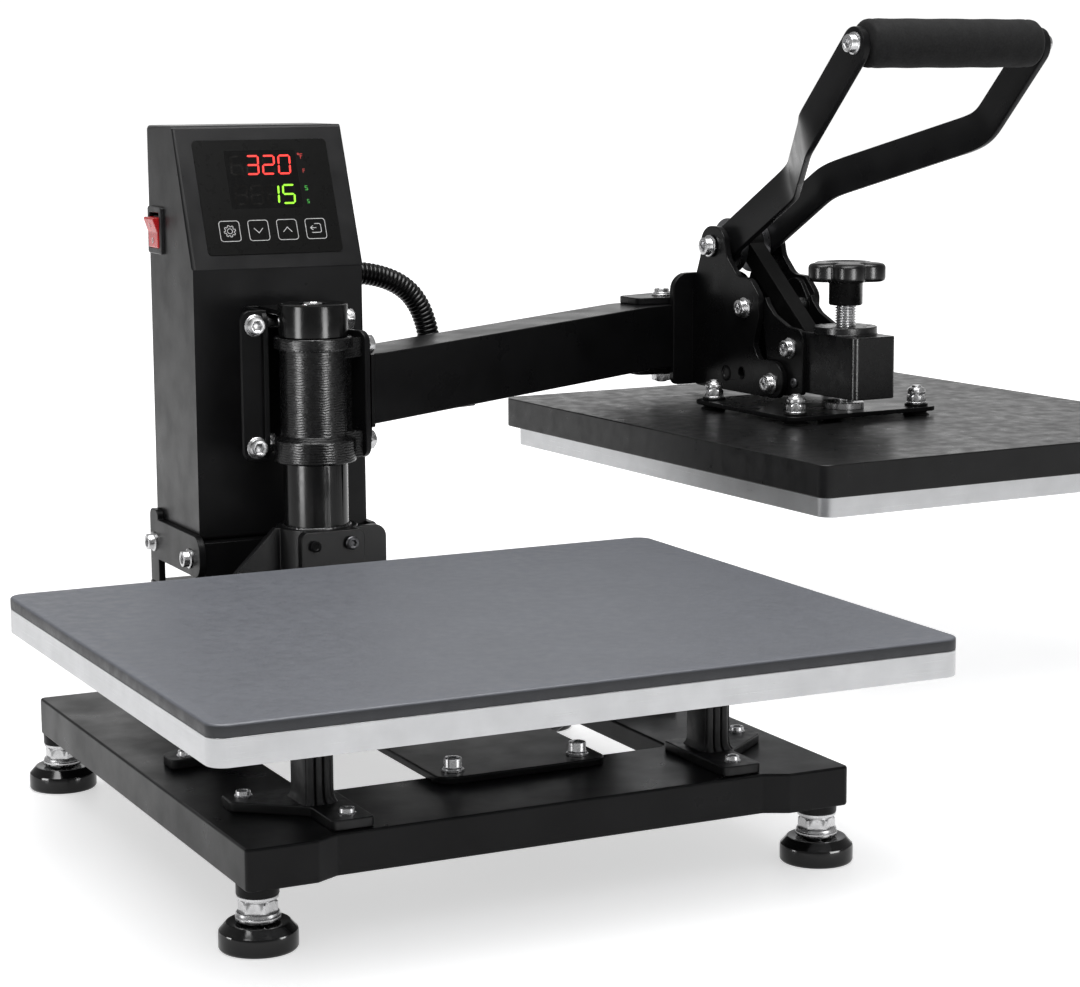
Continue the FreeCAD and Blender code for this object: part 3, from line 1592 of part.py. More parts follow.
def main():
    os.makedirs("parts", exist_ok=True)
    write("base_frame", base_frame())
    write("foot_jam_nuts", [foot_nut(x, y) for x, y in foot_places().values()])
    write("standoffs_front", standoff_pair(False))
    write("standoffs_rear", standoff_pair(True))
    write("standoff_screws", standoff_screws())
    write("lower_plate", platen(plate_bottom, plate_top))
    write("silicone_pad", platen(plate_top, 0.0))
    write("spine_tray", spine_tray())
    write("base_bolts", base_bolts())
    write("post_socket", post_socket())
    write("post", post())
    write("post_cap", post_cap())
    write("tower_bracket", tower_bracket())
    write("tower_side_plate", tower_side_plate())
    write("tower_bolts", tower_bolts())
    write("box_cradle", box_cradle())
    write("box_housing", box_housing())
    write("box_back_panel", box_back_panel())
    write("control_board", control_board())
    write("display_overlay", display_overlay())
    write("rocker_bezel", rocker_bezel())
    write("box_hose_gland", box_hose_gland())
    write("mains_inlet", mains_inlet())
    write("hose", hose())
    for name, (x, y) in foot_places().items():
        write(name, foot(x, y))
    write("rocker_switch", rocker_switch())
    write("pivot_sleeve", sleeve())
    write("sleeve_bushes", sleeve_bushes())
    write("arm_tube", arm_tube())
    write("arm_bolts", arm_bolts())
    write("arm_hose_gland", arm_hose_gland())
    write("head_bracket", head_bracket())
    write("side_plate_near", side_plate(-1))
    write("side_plate_far", side_plate(1))
    write("pivot_bolts", pivot_bolts())
    write("cross_spacers", cross_spacers())
    write("handle_bar_near", handle_bar(-1))
    write("handle_bar_far", handle_bar(1))
    write("handle_hub", handle_hub())
    write("grip_rod", grip_rod())
    write("foam_grip", foam_grip())
    write("handle_bolts", handle_bolts())
    write("toggle_link", toggle_link())
    write("cheek_near", cheek(-1))
    write("cheek_far", cheek(1))
    write("press_arm", press_arm())
    write("cheek_bolts", cheek_bolts())
    write("pressure_screw", pressure_screw())
    write("star_knob", star_knob())
    write("mount_plate", mount_plate())
    write("head_studs", head_studs())
    write("rubber_spacers", rubber_spacers())
    write("top_cover", top_cover())
    write("insulation", insulation())
    write("heating_element", heating_element())
    write("heater_plate", heater_plate())


main()
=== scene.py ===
import json
import math

import bmesh
import bpy
import numpy as np
from mathutils import Matrix, Vector

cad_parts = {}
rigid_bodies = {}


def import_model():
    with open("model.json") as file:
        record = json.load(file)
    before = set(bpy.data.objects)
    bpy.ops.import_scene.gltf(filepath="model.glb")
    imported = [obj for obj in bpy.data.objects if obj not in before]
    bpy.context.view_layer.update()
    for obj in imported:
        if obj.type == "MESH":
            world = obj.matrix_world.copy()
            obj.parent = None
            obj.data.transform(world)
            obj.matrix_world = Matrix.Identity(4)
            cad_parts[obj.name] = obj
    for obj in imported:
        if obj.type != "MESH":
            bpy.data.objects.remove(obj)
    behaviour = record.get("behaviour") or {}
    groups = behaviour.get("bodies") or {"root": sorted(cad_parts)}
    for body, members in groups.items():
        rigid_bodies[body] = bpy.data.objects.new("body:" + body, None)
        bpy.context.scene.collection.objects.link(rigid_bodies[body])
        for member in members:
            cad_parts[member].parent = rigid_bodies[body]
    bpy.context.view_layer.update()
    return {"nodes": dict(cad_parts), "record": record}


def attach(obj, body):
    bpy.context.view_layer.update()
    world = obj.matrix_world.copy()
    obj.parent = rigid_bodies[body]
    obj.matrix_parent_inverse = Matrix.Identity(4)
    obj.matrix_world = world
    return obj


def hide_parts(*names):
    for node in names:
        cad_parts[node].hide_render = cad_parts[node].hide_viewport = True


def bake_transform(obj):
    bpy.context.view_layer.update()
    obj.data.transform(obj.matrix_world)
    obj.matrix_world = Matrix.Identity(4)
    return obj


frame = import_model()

mm = 0.001
bodyOfNode = {}
for bodyName, members in frame["record"]["behaviour"]["bodies"].items():
    for member in members:
        bodyOfNode[member] = bodyName

# Places shared by several pieces, in millimetres: the post's axis, the resting swing of the arm,
# the pressure screw's axis before that swing, and the slanted face of the control box
place = {"postX": 68.0, "postY": 372.0, "restSwing": 3.0, "armTurn": 15.5, "rodX": 416.0, "rodY": 285.0,
         "boxFront": 417.0, "crease": 145.5, "slopeRun": 35.9, "boxTop": 235.7, "boxMiddle": 63.0,
         "floor": -121.0}


# Camera

cameraPlace = {"place": (-0.5463, -1.1922, 0.2692), "yaw": 26.3, "pitch": 9.0, "roll": 0.3, "lens": 88.87}


def makeCamera():
    yaw, pitch, roll = (math.radians(cameraPlace[k]) for k in ("yaw", "pitch", "roll"))
    ahead = Vector((math.sin(yaw) * math.cos(pitch), math.cos(yaw) * math.cos(pitch), -math.sin(pitch)))
    right = Vector((math.cos(yaw), -math.sin(yaw), 0))
    down = ahead.cross(right)
    rolledRight = right * math.cos(roll) + down * math.sin(roll)
    rolledDown = down * math.cos(roll) - right * math.sin(roll)
    turn = Matrix((rolledRight, -rolledDown, -ahead)).transposed()
    data = bpy.data.cameras.new("camera")
    data.lens = cameraPlace["lens"]
    data.sensor_width = 36
    data.clip_start = 0.02
    data.clip_end = 60
    camera = bpy.data.objects.new("camera", data)
    camera.matrix_world = Matrix.Translation(cameraPlace["place"]) @ turn.to_4x4()
    bpy.context.scene.collection.objects.link(camera)
    bpy.context.scene.camera = camera


makeCamera()
print("camera in place")


# Shapes

def softCorners(corners, steps=5, closed=False):
    # Polyline through (a, b, radius) corners: each corner is an arc of its radius, tangent to both runs
    points = [np.array(c[:2], float) for c in corners]
    count = len(points)
    out = []
    for i, corner in enumerate(corners):
        radius = corner[2] if len(corner) > 2 else 0
        if radius <= 0 or (not closed and i in (0, count - 1)):
            out.append(points[i])
            continue
        back = points[i - 1] - points[i]
        ahead = points[(i + 1) % count] - points[i]
        back, ahead = back / np.linalg.norm(back), ahead / np.linalg.norm(ahead)
        half = math.acos(np.clip(back @ ahead, -1, 1)) / 2
        reach = radius / math.tan(half)
        middle = points[i] + (back + ahead) / np.linalg.norm(back + ahead) * (radius / math.sin(half))
        start, end = points[i] + back * reach - middle, points[i] + ahead * reach - middle
        sweep = math.acos(np.clip(start @ end / (radius * radius), -1, 1))
        for t in np.linspace(0, 1, steps):
            out.append(middle + (start * math.sin((1 - t) * sweep) + end * math.sin(t * sweep)) / math.sin(sweep))
    return np.array(out)


def axes(way):
    # Two directions square to way, so that first x second = way
    way = np.array(way, float) / np.linalg.norm(way)
    side = np.array((0, 0, 1.0)) if abs(way[2]) < 0.9 else np.array((1.0, 0, 0))
    first = np.cross(side, way)
    first /= np.linalg.norm(first)
    return first, np.cross(way, first), way


def swung(points, turn=None):
    # Points turned about the post's axis, by the resting swing unless turn says otherwise
    points = np.asarray(points, float)
    angle = math.radians(place["restSwing"] if turn is None else turn)
    x, y = points[..., 0] - place["postX"], points[..., 1] - place["postY"]
    return np.stack([place["postX"] + x * math.cos(angle) - y * math.sin(angle),
                     place["postY"] + x * math.sin(angle) + y * math.cos(angle), points[..., 2]], -1)


def mechanism(lateral, p, z):
    # Point of the head's mechanism: sideways from its middle plane, to the rear of the screw, up
    return swung((place["rodX"] + lateral, place["rodY"] + p, z))


def alongArm(along, across, z):
    # Point measured along the arm from the post's axis
    return swung((place["postX"] + along, place["postY"] + across, z), place["restSwing"] + place["armTurn"])


def onSlope(points):
    # Points (sideways from the box's middle, up the slanted face, out of it) carried onto the face
    points = np.asarray(points, float)
    angle = math.atan2(place["slopeRun"], place["boxTop"] - place["crease"])
    across, up, out = points[..., 0], points[..., 1], points[..., 2]
    return np.stack([place["boxMiddle"] + across,
                     place["boxFront"] + up * math.sin(angle) - out * math.cos(angle),
                     place["crease"] + up * math.cos(angle) + out * math.sin(angle)], -1)


class Builder:
    # Collects grids and faces in millimetres and makes one mesh object of them
    def __init__(self):
        self.points, self.faces, self.count = [], [], 0

    def add(self, points, faces):
        self.points.append(np.asarray(points, float).reshape(-1, 3))
        self.faces += [tuple(int(v) + self.count for v in face) for face in faces]
        self.count += len(self.points[-1])

    def grid(self, points, around=True, capStart=False, capEnd=False, loop=False):
        # Grid of rows: neighbours are joined into quads, around joins each row's ends, caps are fans
        rows, columns = points.shape[:2]
        index = np.arange(rows * columns).reshape(rows, columns)
        low = index if loop else index[:-1]
        high = np.roll(index, -1, 0) if loop else index[1:]
        if around:
            lowNext, highNext = np.roll(low, -1, 1), np.roll(high, -1, 1)
        else:
            lowNext, highNext, low, high = low[:, 1:], high[:, 1:], low[:, :-1], high[:, :-1]
        quads = np.stack([low, lowNext, highNext, high], -1).reshape(-1, 4).tolist()
        flat = points.reshape(-1, 3)
        for wanted, row in ((capStart, 0), (capEnd, rows - 1)):
            if wanted:
                centre = len(flat)
                flat = np.vstack([flat, points[row].mean(0)])
                ring = index[row]
                after = np.roll(ring, -1)
                quads += [(int(a), int(b), centre) for a, b in zip(ring, after)]
        self.add(flat, quads)

    def lathe(self, rows, origin, way, around=40, flats=None):
        # Rows of (radius, height, hexness) carried round an axis: at angle a the radius is divided by
        # cos(a - nearest flat) as far as hexness says; flats caps it at a hexagon of that width
        rows = np.array([tuple(r) + (0,) * (3 - len(r)) for r in rows], float)
        side, up, way = axes(way)
        angle = np.linspace(0, 2 * math.pi, around, endpoint=False)
        offset = angle % (math.pi / 3) - math.pi / 6
        hexagon = 1 / np.cos(offset)
        radius = rows[:, :1] * (1 + rows[:, 2:] * (hexagon - 1))
        if flats:
            radius = np.minimum(radius, flats / 2 * hexagon)
        ring = np.cos(angle)[:, None] * side + np.sin(angle)[:, None] * up
        points = np.array(origin) + radius[..., None] * ring + rows[:, 1, None, None] * way
        self.grid(points, True, True, True)

    def make(self, name, finish, body, smooth=32, slot=None, replaces=(), bevel=0, even=False):
        data = bpy.data.meshes.new(name)
        data.from_pydata((np.vstack(self.points) * mm).tolist(), [], self.faces)
        mesh = bmesh.new()
        mesh.from_mesh(data)
        bmesh.ops.remove_doubles(mesh, verts=mesh.verts, dist=1e-6)
        bmesh.ops.recalc_face_normals(mesh, faces=mesh.faces)
        mesh.to_mesh(data)
        mesh.free()
        return finished(name, data, finish, body, smooth, replaces, bevel, even)


def finished(name, data, finish, body, smooth, replaces, bevel, even=False, folded=False):
    # Object at the origin, shaded smooth up to an angle, riding on its body; a folded shell is rounded
    # only at its marked folds
    data.materials.clear()
    data.materials.append(finish)
    if not folded:
        data.shade_smooth()
    if not bevel:
        data.set_sharp_from_angle(angle=math.radians(smooth))
    piece = bpy.data.objects.new(name, data)
    bpy.context.scene.collection.objects.link(piece)
    if bevel:
        edge = piece.modifiers.new("edges", "BEVEL")
        edge.width = bevel * mm
        edge.segments = 5 if folded else 2
        edge.limit_method = "WEIGHT" if folded else "ANGLE"
        edge.angle_limit = math.radians(smooth)
        edge.harden_normals = not folded
        edge.use_clamp_overlap = False
    if even:
        # Large flat faces keep their own normal and the narrow edge strips take the turn
        piece.modifiers.new("even", "WEIGHTED_NORMAL").keep_sharp = True
    if body:
        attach(piece, body)
    if replaces:
        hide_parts(*replaces)
    return piece


foldLook = {"near": 1e-5, "turn": 10, "length": 0.03, "sharp": 30}


def markFolds(data):
    # Marks a folded shell's edges over its two outer sides, without the open rims at the back and below
    near = foldLook["near"]
    where = np.array([vertex.co for vertex in data.vertices])
    low, high = where.min(0), where.max(0)
    mesh = bmesh.new()
    mesh.from_mesh(data)
    turns = [edge.calc_face_angle(0) for edge in mesh.edges]
    mesh.free()
    marks = []
    for edge, turn in zip(data.edges, turns):
        ends = where[list(edge.vertices)]
        onSides = np.all((np.abs(ends[:, 0] - low[0]) < near) | (np.abs(ends[:, 0] - high[0]) < near))
        onRim = np.all(np.abs(ends[:, 2] - low[2]) < near) or np.all(np.abs(ends[:, 1] - high[1]) < near)
        long = np.linalg.norm(ends[1] - ends[0]) > foldLook["length"]
        marks.append(float(onSides and long and turn > math.radians(foldLook["turn"]) and not onRim))
    data.attributes.new("bevel_weight_edge", "FLOAT", "EDGE").data.foreach_set("value", marks)
    data.shade_smooth()
    data.set_sharp_from_angle(angle=math.radians(foldLook["sharp"]))
    for edge, mark in zip(data.edges, marks):
        if mark:
            edge.use_edge_sharp = False


def dress(node, finish, bevel, folded):
    # Copy of a CAD node, merged and with its flat faces joined, whose edges are rounded to catch light
    data = frame["nodes"][node].data.copy()
    custom = data.attributes.get("custom_normal")
    if custom:
        data.attributes.remove(custom)
    mesh = bmesh.new()
    mesh.from_mesh(data)
    bmesh.ops.remove_doubles(mesh, verts=mesh.verts, dist=3e-6)
    bmesh.ops.dissolve_limit(mesh, angle_limit=math.radians(0.3), verts=mesh.verts, edges=mesh.edges)
    mesh.to_mesh(data)
    mesh.free()
    if folded:
        markFolds(data)
    finished(node + ".finished", data, finish, bodyOfNode[node], 32, (node,), bevel,
             folded, folded)


def wear(node, finish):
    # CAD node that stays as it is and takes a finish
    frame["nodes"][node].data.materials.clear()
    frame["nodes"][node].data.materials.append(finish)


# Finishes

def linked(tree, kind, inputs=None, **settings):
    # New node with its settings, values and links
    node = tree.nodes.new(kind)
    for key, value in settings.items():
        setattr(node, key, value)
    for key, value in (inputs or {}).items():
        if isinstance(value, bpy.types.NodeSocket):
            tree.links.new(value, node.inputs[key])
        else:
            node.inputs[key].default_value = value
    return node


class Finish:
    # One material: the shader, its coordinates, and layers of bump, mottling and roughness
    def __init__(self, name, color, rough, metal=0.0, specular=0.5, coat=0.0):
        self.material = bpy.data.materials.new(name)
        self.material.use_nodes = True
        self.tree = self.material.node_tree
        self.shader = self.tree.nodes["Principled BSDF"]
        for key, value in (("Base Color", (*color, 1)), ("Roughness", rough), ("Metallic", metal),
                           ("Specular IOR Level", specular), ("Coat Weight", coat), ("Coat Roughness", 0.1)):
            self.shader.inputs[key].default_value = value
        self.color = color
        self.where = self.tree.nodes.new("ShaderNodeTexCoord").outputs["Object"]
        self.normal = None

    def stretched(self, scale):
        return linked(self.tree, "ShaderNodeMapping", {"Vector": self.where, "Scale": scale}).outputs[0]

    def noise(self, size, detail=2.0, rough=0.5, where=None, warp=0.0):
        # size is the grain in millimetres
        return linked(self.tree, "ShaderNodeTexNoise", {"Vector": where or self.where, "Scale": 1 / (size * mm),
                      "Detail": detail, "Roughness": rough, "Distortion": warp}).outputs["Fac"]

    def cells(self, size, feature="F1"):
        return linked(self.tree, "ShaderNodeTexVoronoi", {"Vector": self.where, "Scale": 1 / (size * mm)},
                      feature=feature).outputs["Distance"]

    def spread(self, value, low, high, start=0.0, end=1.0):
        return linked(self.tree, "ShaderNodeMapRange", {"Value": value, "From Min": start, "From Max": end,
                      "To Min": low, "To Max": high}).outputs[0]

    def bump(self, height, depth, strength=1.0):
        # depth is in millimetres
        inputs = {"Height": height, "Distance": depth * mm, "Strength": strength}
        if self.normal:
            inputs["Normal"] = self.normal
        self.normal = linked(self.tree, "ShaderNodeBump", inputs).outputs[0]
        self.tree.links.new(self.normal, self.shader.inputs["Normal"])
        return self

    def mottle(self, value, low, high, start=0.3, end=0.7):
        # Colour that runs between two shares of the base colour, as value goes from start to end
        factor = self.spread(value, 0, 1, start, end)
        mix = linked(self.tree, "ShaderNodeMix", {"Factor": factor}, data_type="RGBA")
        mix.inputs["A"].default_value = (*[c * low for c in self.color], 1)
        mix.inputs["B"].default_value = (*[min(1, c * high) for c in self.color], 1)
        self.tree.links.new(mix.outputs["Result"], self.shader.inputs["Base Color"])
        return self

    def shine(self, value, low, high, start=0.3, end=0.7):
        self.tree.links.new(self.spread(value, low, high, start, end), self.shader.inputs["Roughness"])
        return self


satinLook = {"color": (0.0058, 0.0058, 0.0062), "rough": 0.33, "specular": 0.13}


def satinBlack(name, color=1.0, rough=0.0, peel=1.1, depth=0.02, specular=satinLook["specular"]):
    # Powder coat: fine orange peel, faint cloudy change of gloss
    rough += satinLook["rough"]
    f = Finish(name, [c * color for c in satinLook["color"]], rough, specular=specular)
    f.mottle(f.noise(38, 3), 0.75, 1.3)
    f.shine(f.noise(22, 4), rough - 0.06, rough + 0.06)
    f.bump(f.noise(peel, 2.5, 0.55), depth)
    return f.material


def glossBlack(name, rough, specular=0.22):
    # Smooth paint or moulded plastic: a long faint wave and dust-fine grain
    f = Finish(name, (0.0045, 0.0045, 0.00468), rough, specular=specular)
    f.mottle(f.noise(14, 3), 0.8, 1.25)
    f.shine(f.noise(6, 5), rough - 0.03, rough + 0.05)
    f.bump(f.noise(9, 1.5), 0.008).bump(f.noise(0.5, 2), 0.003)
    return f.material


def hammeredBlack(name):
    # Thick paint whose surface dries in uneven ripples across the axis
    f = Finish(name, (0.005, 0.005, 0.0053), 0.22, specular=0.26)
    f.mottle(f.noise(9, 3), 0.7, 1.4)
    f.shine(f.noise(3, 3), 0.2, 0.34)
    ripple = linked(f.tree, "ShaderNodeTexWave", {"Vector": f.where, "Scale": 190, "Distortion": 5.5, "Detail": 2,
                    "Detail Scale": 1.1}, bands_direction="Z").outputs["Fac"]
    f.bump(ripple, 0.1, 0.8).bump(f.noise(0.8, 3), 0.02)
    return f.material


def leatherBlack(name, rough, size, depth):
    # Wrinkled powder coat, like fine leather
    f = Finish(name, (0.006, 0.006, 0.0064), rough, specular=0.24)
    f.mottle(f.noise(25, 3), 0.75, 1.3)
    f.shine(f.noise(9, 4), rough - 0.07, rough + 0.08)
    f.bump(f.noise(size, 3, 0.6, warp=1.6), depth, 0.7)
    f.bump(f.cells(size * 0.5, "DISTANCE_TO_EDGE"), depth * 0.35, 0.5)
    return f.material


def castBlack(name):
    # Painted casting: coarse cloudy gloss over a fine grain
    f = Finish(name, (0.006, 0.006, 0.0064), 0.3, specular=0.28)
    f.mottle(f.noise(12, 4), 0.7, 1.4)
    f.shine(f.noise(5, 3), 0.3, 0.48)
    f.bump(f.noise(1.6, 4, 0.6), 0.04)
    return f.material


def brightSteel(name, color=0.56, rough=0.26):
    # Plated steel: turning marks, faint haze
    f = Finish(name, (color, color, color * 1.01), rough, metal=1.0)
    f.mottle(f.noise(5, 4), 0.88, 1.08)
    f.shine(f.noise(2.2, 4), rough - 0.05, rough + 0.08)
    f.bump(f.noise(0.35, 2), 0.002)
    return f.material


def platenAluminium(name):
    # Ground edge: fine lines along the edge over a satin face
    f = Finish(name, (0.56, 0.565, 0.575), 0.34, metal=0.92, specular=0.5)
    f.mottle(f.noise(18, 4), 0.93, 1.06)
    lines = f.noise(1.0, 3, 0.6, f.stretched((0.02, 0.02, 5.0)))
    f.shine(lines, 0.27, 0.42)
    f.bump(lines, 0.006, 0.5).bump(f.noise(1.4, 3), 0.006)
    return f.material


def siliconeSkin(name):
    # Pressed silicone: short winding ridges, a cloudy tone on the top face, and cut sides darkened by painted shade
    f = Finish(name, (0.128, 0.135, 0.156), 0.5, specular=0.42)
    height = linked(f.tree, "ShaderNodeSeparateXYZ", {"Vector": f.where}).outputs["Z"]
    # Painted shade: top is 1 on the top face and 0 down the sides, where the colour falls to a fifth
    top = f.spread(height, 0, 1, -0.0013, -0.0004)
    cloud = f.spread(f.noise(46, 4, 0.55), 0.42, 0.58)
    shade = linked(f.tree, "ShaderNodeMath", {0: cloud, 1: top}, operation="MULTIPLY").outputs[0]
    f.mottle(shade, 0.2, 1.12, 0.0, 0.52)
    f.shine(f.noise(7, 4), 0.42, 0.58)
    f.bump(f.noise(1.7, 2.5, 0.5, warp=2.2), 0.11, 0.9).bump(f.noise(0.45, 2), 0.012)
    return f.material


def foamSkin(name):
    # Closed foam: open cells, no gloss, a faint sheen at grazing light
    f = Finish(name, (0.009, 0.009, 0.0093), 0.82, specular=0.18)
    f.shader.inputs["Sheen Weight"].default_value = 0.05
    f.shader.inputs["Sheen Roughness"].default_value = 0.5
    f.mottle(f.noise(1.2, 4), 0.6, 1.5)
    f.shine(f.noise(6, 3), 0.76, 0.9)
    f.bump(f.cells(0.55), 0.06, 0.8).bump(f.noise(2.5, 4), 0.05)
    return f.material


def plainFinish(name, color, rough, metal=0.0, grain=1.5, depth=0.02, specular=0.5, spread=0.15, mottleSize=12,
                haze=0.08):
    # Any other surface: a little uneven in colour, gloss and height
    f = Finish(name, color, rough, metal=metal, specular=specular)
    f.mottle(f.noise(mottleSize, 4), 1 - spread, 1 + spread)
    f.shine(f.noise(mottleSize / 2, 3), max(0.02, rough - haze), min(1, rough + haze))
    f.bump(f.noise(grain, 3), depth)
    return f.material


def lit(name, color, strength):
    # Lamp segments behind the film: light with a slight unevenness
    f = Finish(name, [c * 0.4 for c in color], 0.35)
    f.shader.inputs["Emission Color"].default_value = (*color, 1)
    glow = f.spread(f.noise(1.6, 2), strength * 0.85, strength * 1.1, 0.3, 0.7)
    f.tree.links.new(glow, f.shader.inputs["Emission Strength"])
    return f.material


finishes = {
    "frame": satinBlack("frame_black"),
    "arm": satinBlack("arm_black", 1.0, -0.02, 1.3, 0.03),
    "plate": satinBlack("plate_black", 0.8, -0.04, 1.5, 0.02),
    "housing": satinBlack("housing_black", 1.5, 0.0, 0.8, 0.025, 0.2),
    "bar": satinBlack("bar_black", 1.3, -0.02, 1.0, 0.02),
    "post": glossBlack("post_black", 0.19),
    "sleeve": hammeredBlack("sleeve_black"),
    "block": leatherBlack("block_black", 0.27, 2.2, 0.1),
    "cover": leatherBlack("cover_black", 0.34, 1.4, 0.05),
    "cast": castBlack("cast_black"),
    "bolt": brightSteel("bolt_steel"),
    "screw": brightSteel("screw_steel", 0.62, 0.2),
    "aluminium": platenAluminium("platen_aluminium"),
    "pad": siliconeSkin("pad_silicone"),
    "foam": foamSkin("foam_black"),
    "knob": glossBlack("knob_black", 0.27, 0.3),
    "foot": glossBlack("foot_black", 0.13, 0.3),
    "hose": glossBlack("hose_black", 0.2),
    "switch": plainFinish("switch_black", (0.012, 0.012, 0.013), 0.4),
    "rubber": plainFinish("rubber_black", (0.012, 0.012, 0.012), 0.55, grain=0.8),
    "bronze": plainFinish("bush_bronze", (0.55, 0.38, 0.18), 0.35, 1.0),
    "steel": plainFinish("plain_steel", (0.45, 0.45, 0.47), 0.32, 1.0),
    "steelDark": plainFinish("dark_steel", (0.09, 0.09, 0.095), 0.34, 0.8),
    "element": plainFinish("element_steel", (0.35, 0.34, 0.33), 0.42, 1.0),
    "insulation": plainFinish("insulation_white", (0.78, 0.76, 0.7), 0.9, grain=1.0, depth=0.2),
    "board": plainFinish("board_green", (0.03, 0.2, 0.08), 0.35, grain=2.5, depth=0.03, spread=0.3, mottleSize=4),
    "film": plainFinish("film_black", (0.005, 0.005, 0.0048), 0.28, grain=0.5, depth=0.001, specular=0.11,
                        spread=0.05, haze=0.01),
    "window": plainFinish("window_black", (0.004, 0.004, 0.004), 0.16, grain=6, depth=0.001, specular=0.2,
                          haze=0.01),
    "ghost": plainFinish("ghost_segment", (0.0058, 0.0052, 0.0045), 0.17, grain=1, depth=0.004, specular=0.22),
    "mark": plainFinish("key_mark", (0.7, 0.7, 0.7), 0.45, grain=0.5, depth=0.004, spread=0.1, mottleSize=3),
    "weld": plainFinish("weld_black", (0.012, 0.012, 0.013), 0.26, grain=0.9, depth=0.06),
    # Near-black matte finish for painted shade: the discs that stand for the flange's holes, and the toggle link
    "hole": plainFinish("hole_black", (0.0025, 0.0025, 0.0025), 0.6, specular=0.08),
    "red": lit("segment_red", (1.0, 0.03, 0.02), 1.5),
    "green": lit("segment_green", (0.35, 1.0, 0.02), 1.1),
    "unitRed": lit("unit_red", (1.0, 0.05, 0.04), 0.3),
    "unitFaint": lit("unit_faint", (1.0, 0.05, 0.04), 0.1),
    "unitGreen": lit("unit_green", (0.1, 1.0, 0.1), 0.16),
    "unitDim": lit("unit_dim", (0.1, 1.0, 0.1), 0.05),
}


def rockerRed():
    # Glossy tinted plastic that lets a little light in
    f = Finish("rocker_red", (0.62, 0.012, 0.014), 0.25, specular=0.5, coat=0.3)
    f.shader.inputs["Subsurface Weight"].default_value = 0.15
    f.shader.inputs["Subsurface Radius"].default_value = (0.004, 0.001, 0.001)
    f.mottle(f.noise(5, 3), 0.8, 1.15)
    f.shine(f.noise(3, 3), 0.2, 0.34)
    f.bump(f.noise(2.0, 2), 0.02)
    return f.material


finishes["rocker"] = rockerRed()
print("finishes ready")


# Nodes that keep their CAD form, with edges rounded to catch the light

edgeOfNode = {
    "post_socket": ("frame", 0.6), "box_cradle": ("frame", 0.6), "tower_bracket": ("frame", 0.5),
    "tower_side_plate": ("frame", 0.7), "box_housing": ("housing", 2.4), "box_back_panel": ("housing", 0.2),
    "arm_tube": ("arm", 0.9), "head_bracket": ("arm", 0.7), "side_plate_near": ("plate", 0.6),
    "side_plate_far": ("plate", 0.6), "cheek_near": ("plate", 0.5), "cheek_far": ("plate", 0.5),
    "press_arm": ("block", 0.7), "lower_plate": ("aluminium", 0.5), "heater_plate": ("aluminium", 0.5),
    "top_cover": ("cover", 0.8), "mount_plate": ("plate", 0.5), "post": ("post", 0.4),
    "pivot_sleeve": ("sleeve", 0.5), "mains_inlet": ("switch", 0.3), "box_hose_gland": ("switch", 0.4),
    # The toggle link wears the near-black finish of painted shade, so it reads as shade
    "arm_hose_gland": ("switch", 0.6), "toggle_link": ("hole", 0.3), "handle_hub": ("steelDark", 0.3),
    "cross_spacers": ("steelDark", 0.2), "display_overlay": ("film", 0.1),
}
foldedNodes = ("box_housing",)
plainNode = {"control_board": "board", "grip_rod": "steel", "sleeve_bushes": "bronze",
             "insulation": "insulation", "heating_element": "element"}
for node, (finishName, bevel) in edgeOfNode.items():
    dress(node, finishes[finishName], bevel, node in foldedNodes)
for node, finishName in plainNode.items():
    wear(node, finishes[finishName])
print("nodes dressed")


# Small shapes used by many pieces

def rod(build, start, way, radius, length, around=28, edge=0.3):
    # Plain round bar with softened ends
    build.lathe([(radius - edge, 0), (radius, edge), (radius, length - edge), (radius - edge, length)],
                start, way, around)


headLook = {"flange": 1.64, "rim": 0.28, "head": 1.31, "height": 1.3, "key": 0.66, "keyDepth": 0.6}


def socketHead(build, seat, way, radius, shank=0.0, flange=1.0, tall=1.0):
    # Flanged socket head: rows climb from the seat over flange and head, then go down into the hexagon
    look = headLook
    f, h, k, top = look["flange"] * flange, look["head"], look["key"], look["height"] * tall
    rows = [(f, 0), (f, look["rim"] - 0.08), (f - 0.1, look["rim"]), (h + 0.04, look["rim"] + 0.05),
            (h, look["rim"] + 0.12), (h, top - 0.16), (h - 0.05, top - 0.05), (h - 0.16, top), (k + 0.14, top, 1),
            (k, top - 0.12, 1), (k, top - look["keyDepth"], 1), (k * 0.7, top - look["keyDepth"] - 0.1),
            (k * 0.3, top - look["keyDepth"] - 0.12)]
    rows = [(r * radius, z * radius, hexness[0] if hexness else 0) for r, z, *hexness in rows]
    build.lathe(rows, seat, way, 36)
    if shank:
        rod(build, np.array(seat) + axes(way)[2] * 0.3, -np.array(way, float), radius, shank)


def hexNut(build, seat, way, flats, height, bore, washer=0.0, tail=0.0):
    # Chamfered nut: corners are cut where the row's circle is smaller than the hexagon's corner
    seat, way = np.array(seat, float), axes(way)[2]
    if washer:
        build.lathe([(washer - 0.2, 0), (washer, 0.2), (washer, 1.0), (washer - 0.2, 1.2)], seat, way, 36)
        seat = seat + way * 1.2
    half, corner = flats / 2, flats * 0.62
    build.lathe([(half * 1.03, 0), (corner, 0.35), (corner, height - 0.7), (half * 1.02, height),
                 (bore + 0.5, height), (bore, height - 0.5), (bore, height - 1)], seat, way, 48, flats)
    if tail:
        rod(build, seat, way, bore - 0.15, height + tail, 24, 0.5)


def slab(build, outline, low, high, put):
    # Outline in the plane, carried from low to high by put(a, b, c), with flat ends
    outline = np.array(outline, float)
    rings = [put(outline[:, 0], outline[:, 1], np.full(len(outline), level)) for level in (low, high)]
    points = np.stack(rings)
    count = len(outline)
    build.grid(points)
    ring = list(range(count))
    build.add(points[0], [ring])
    build.add(points[1], [ring])


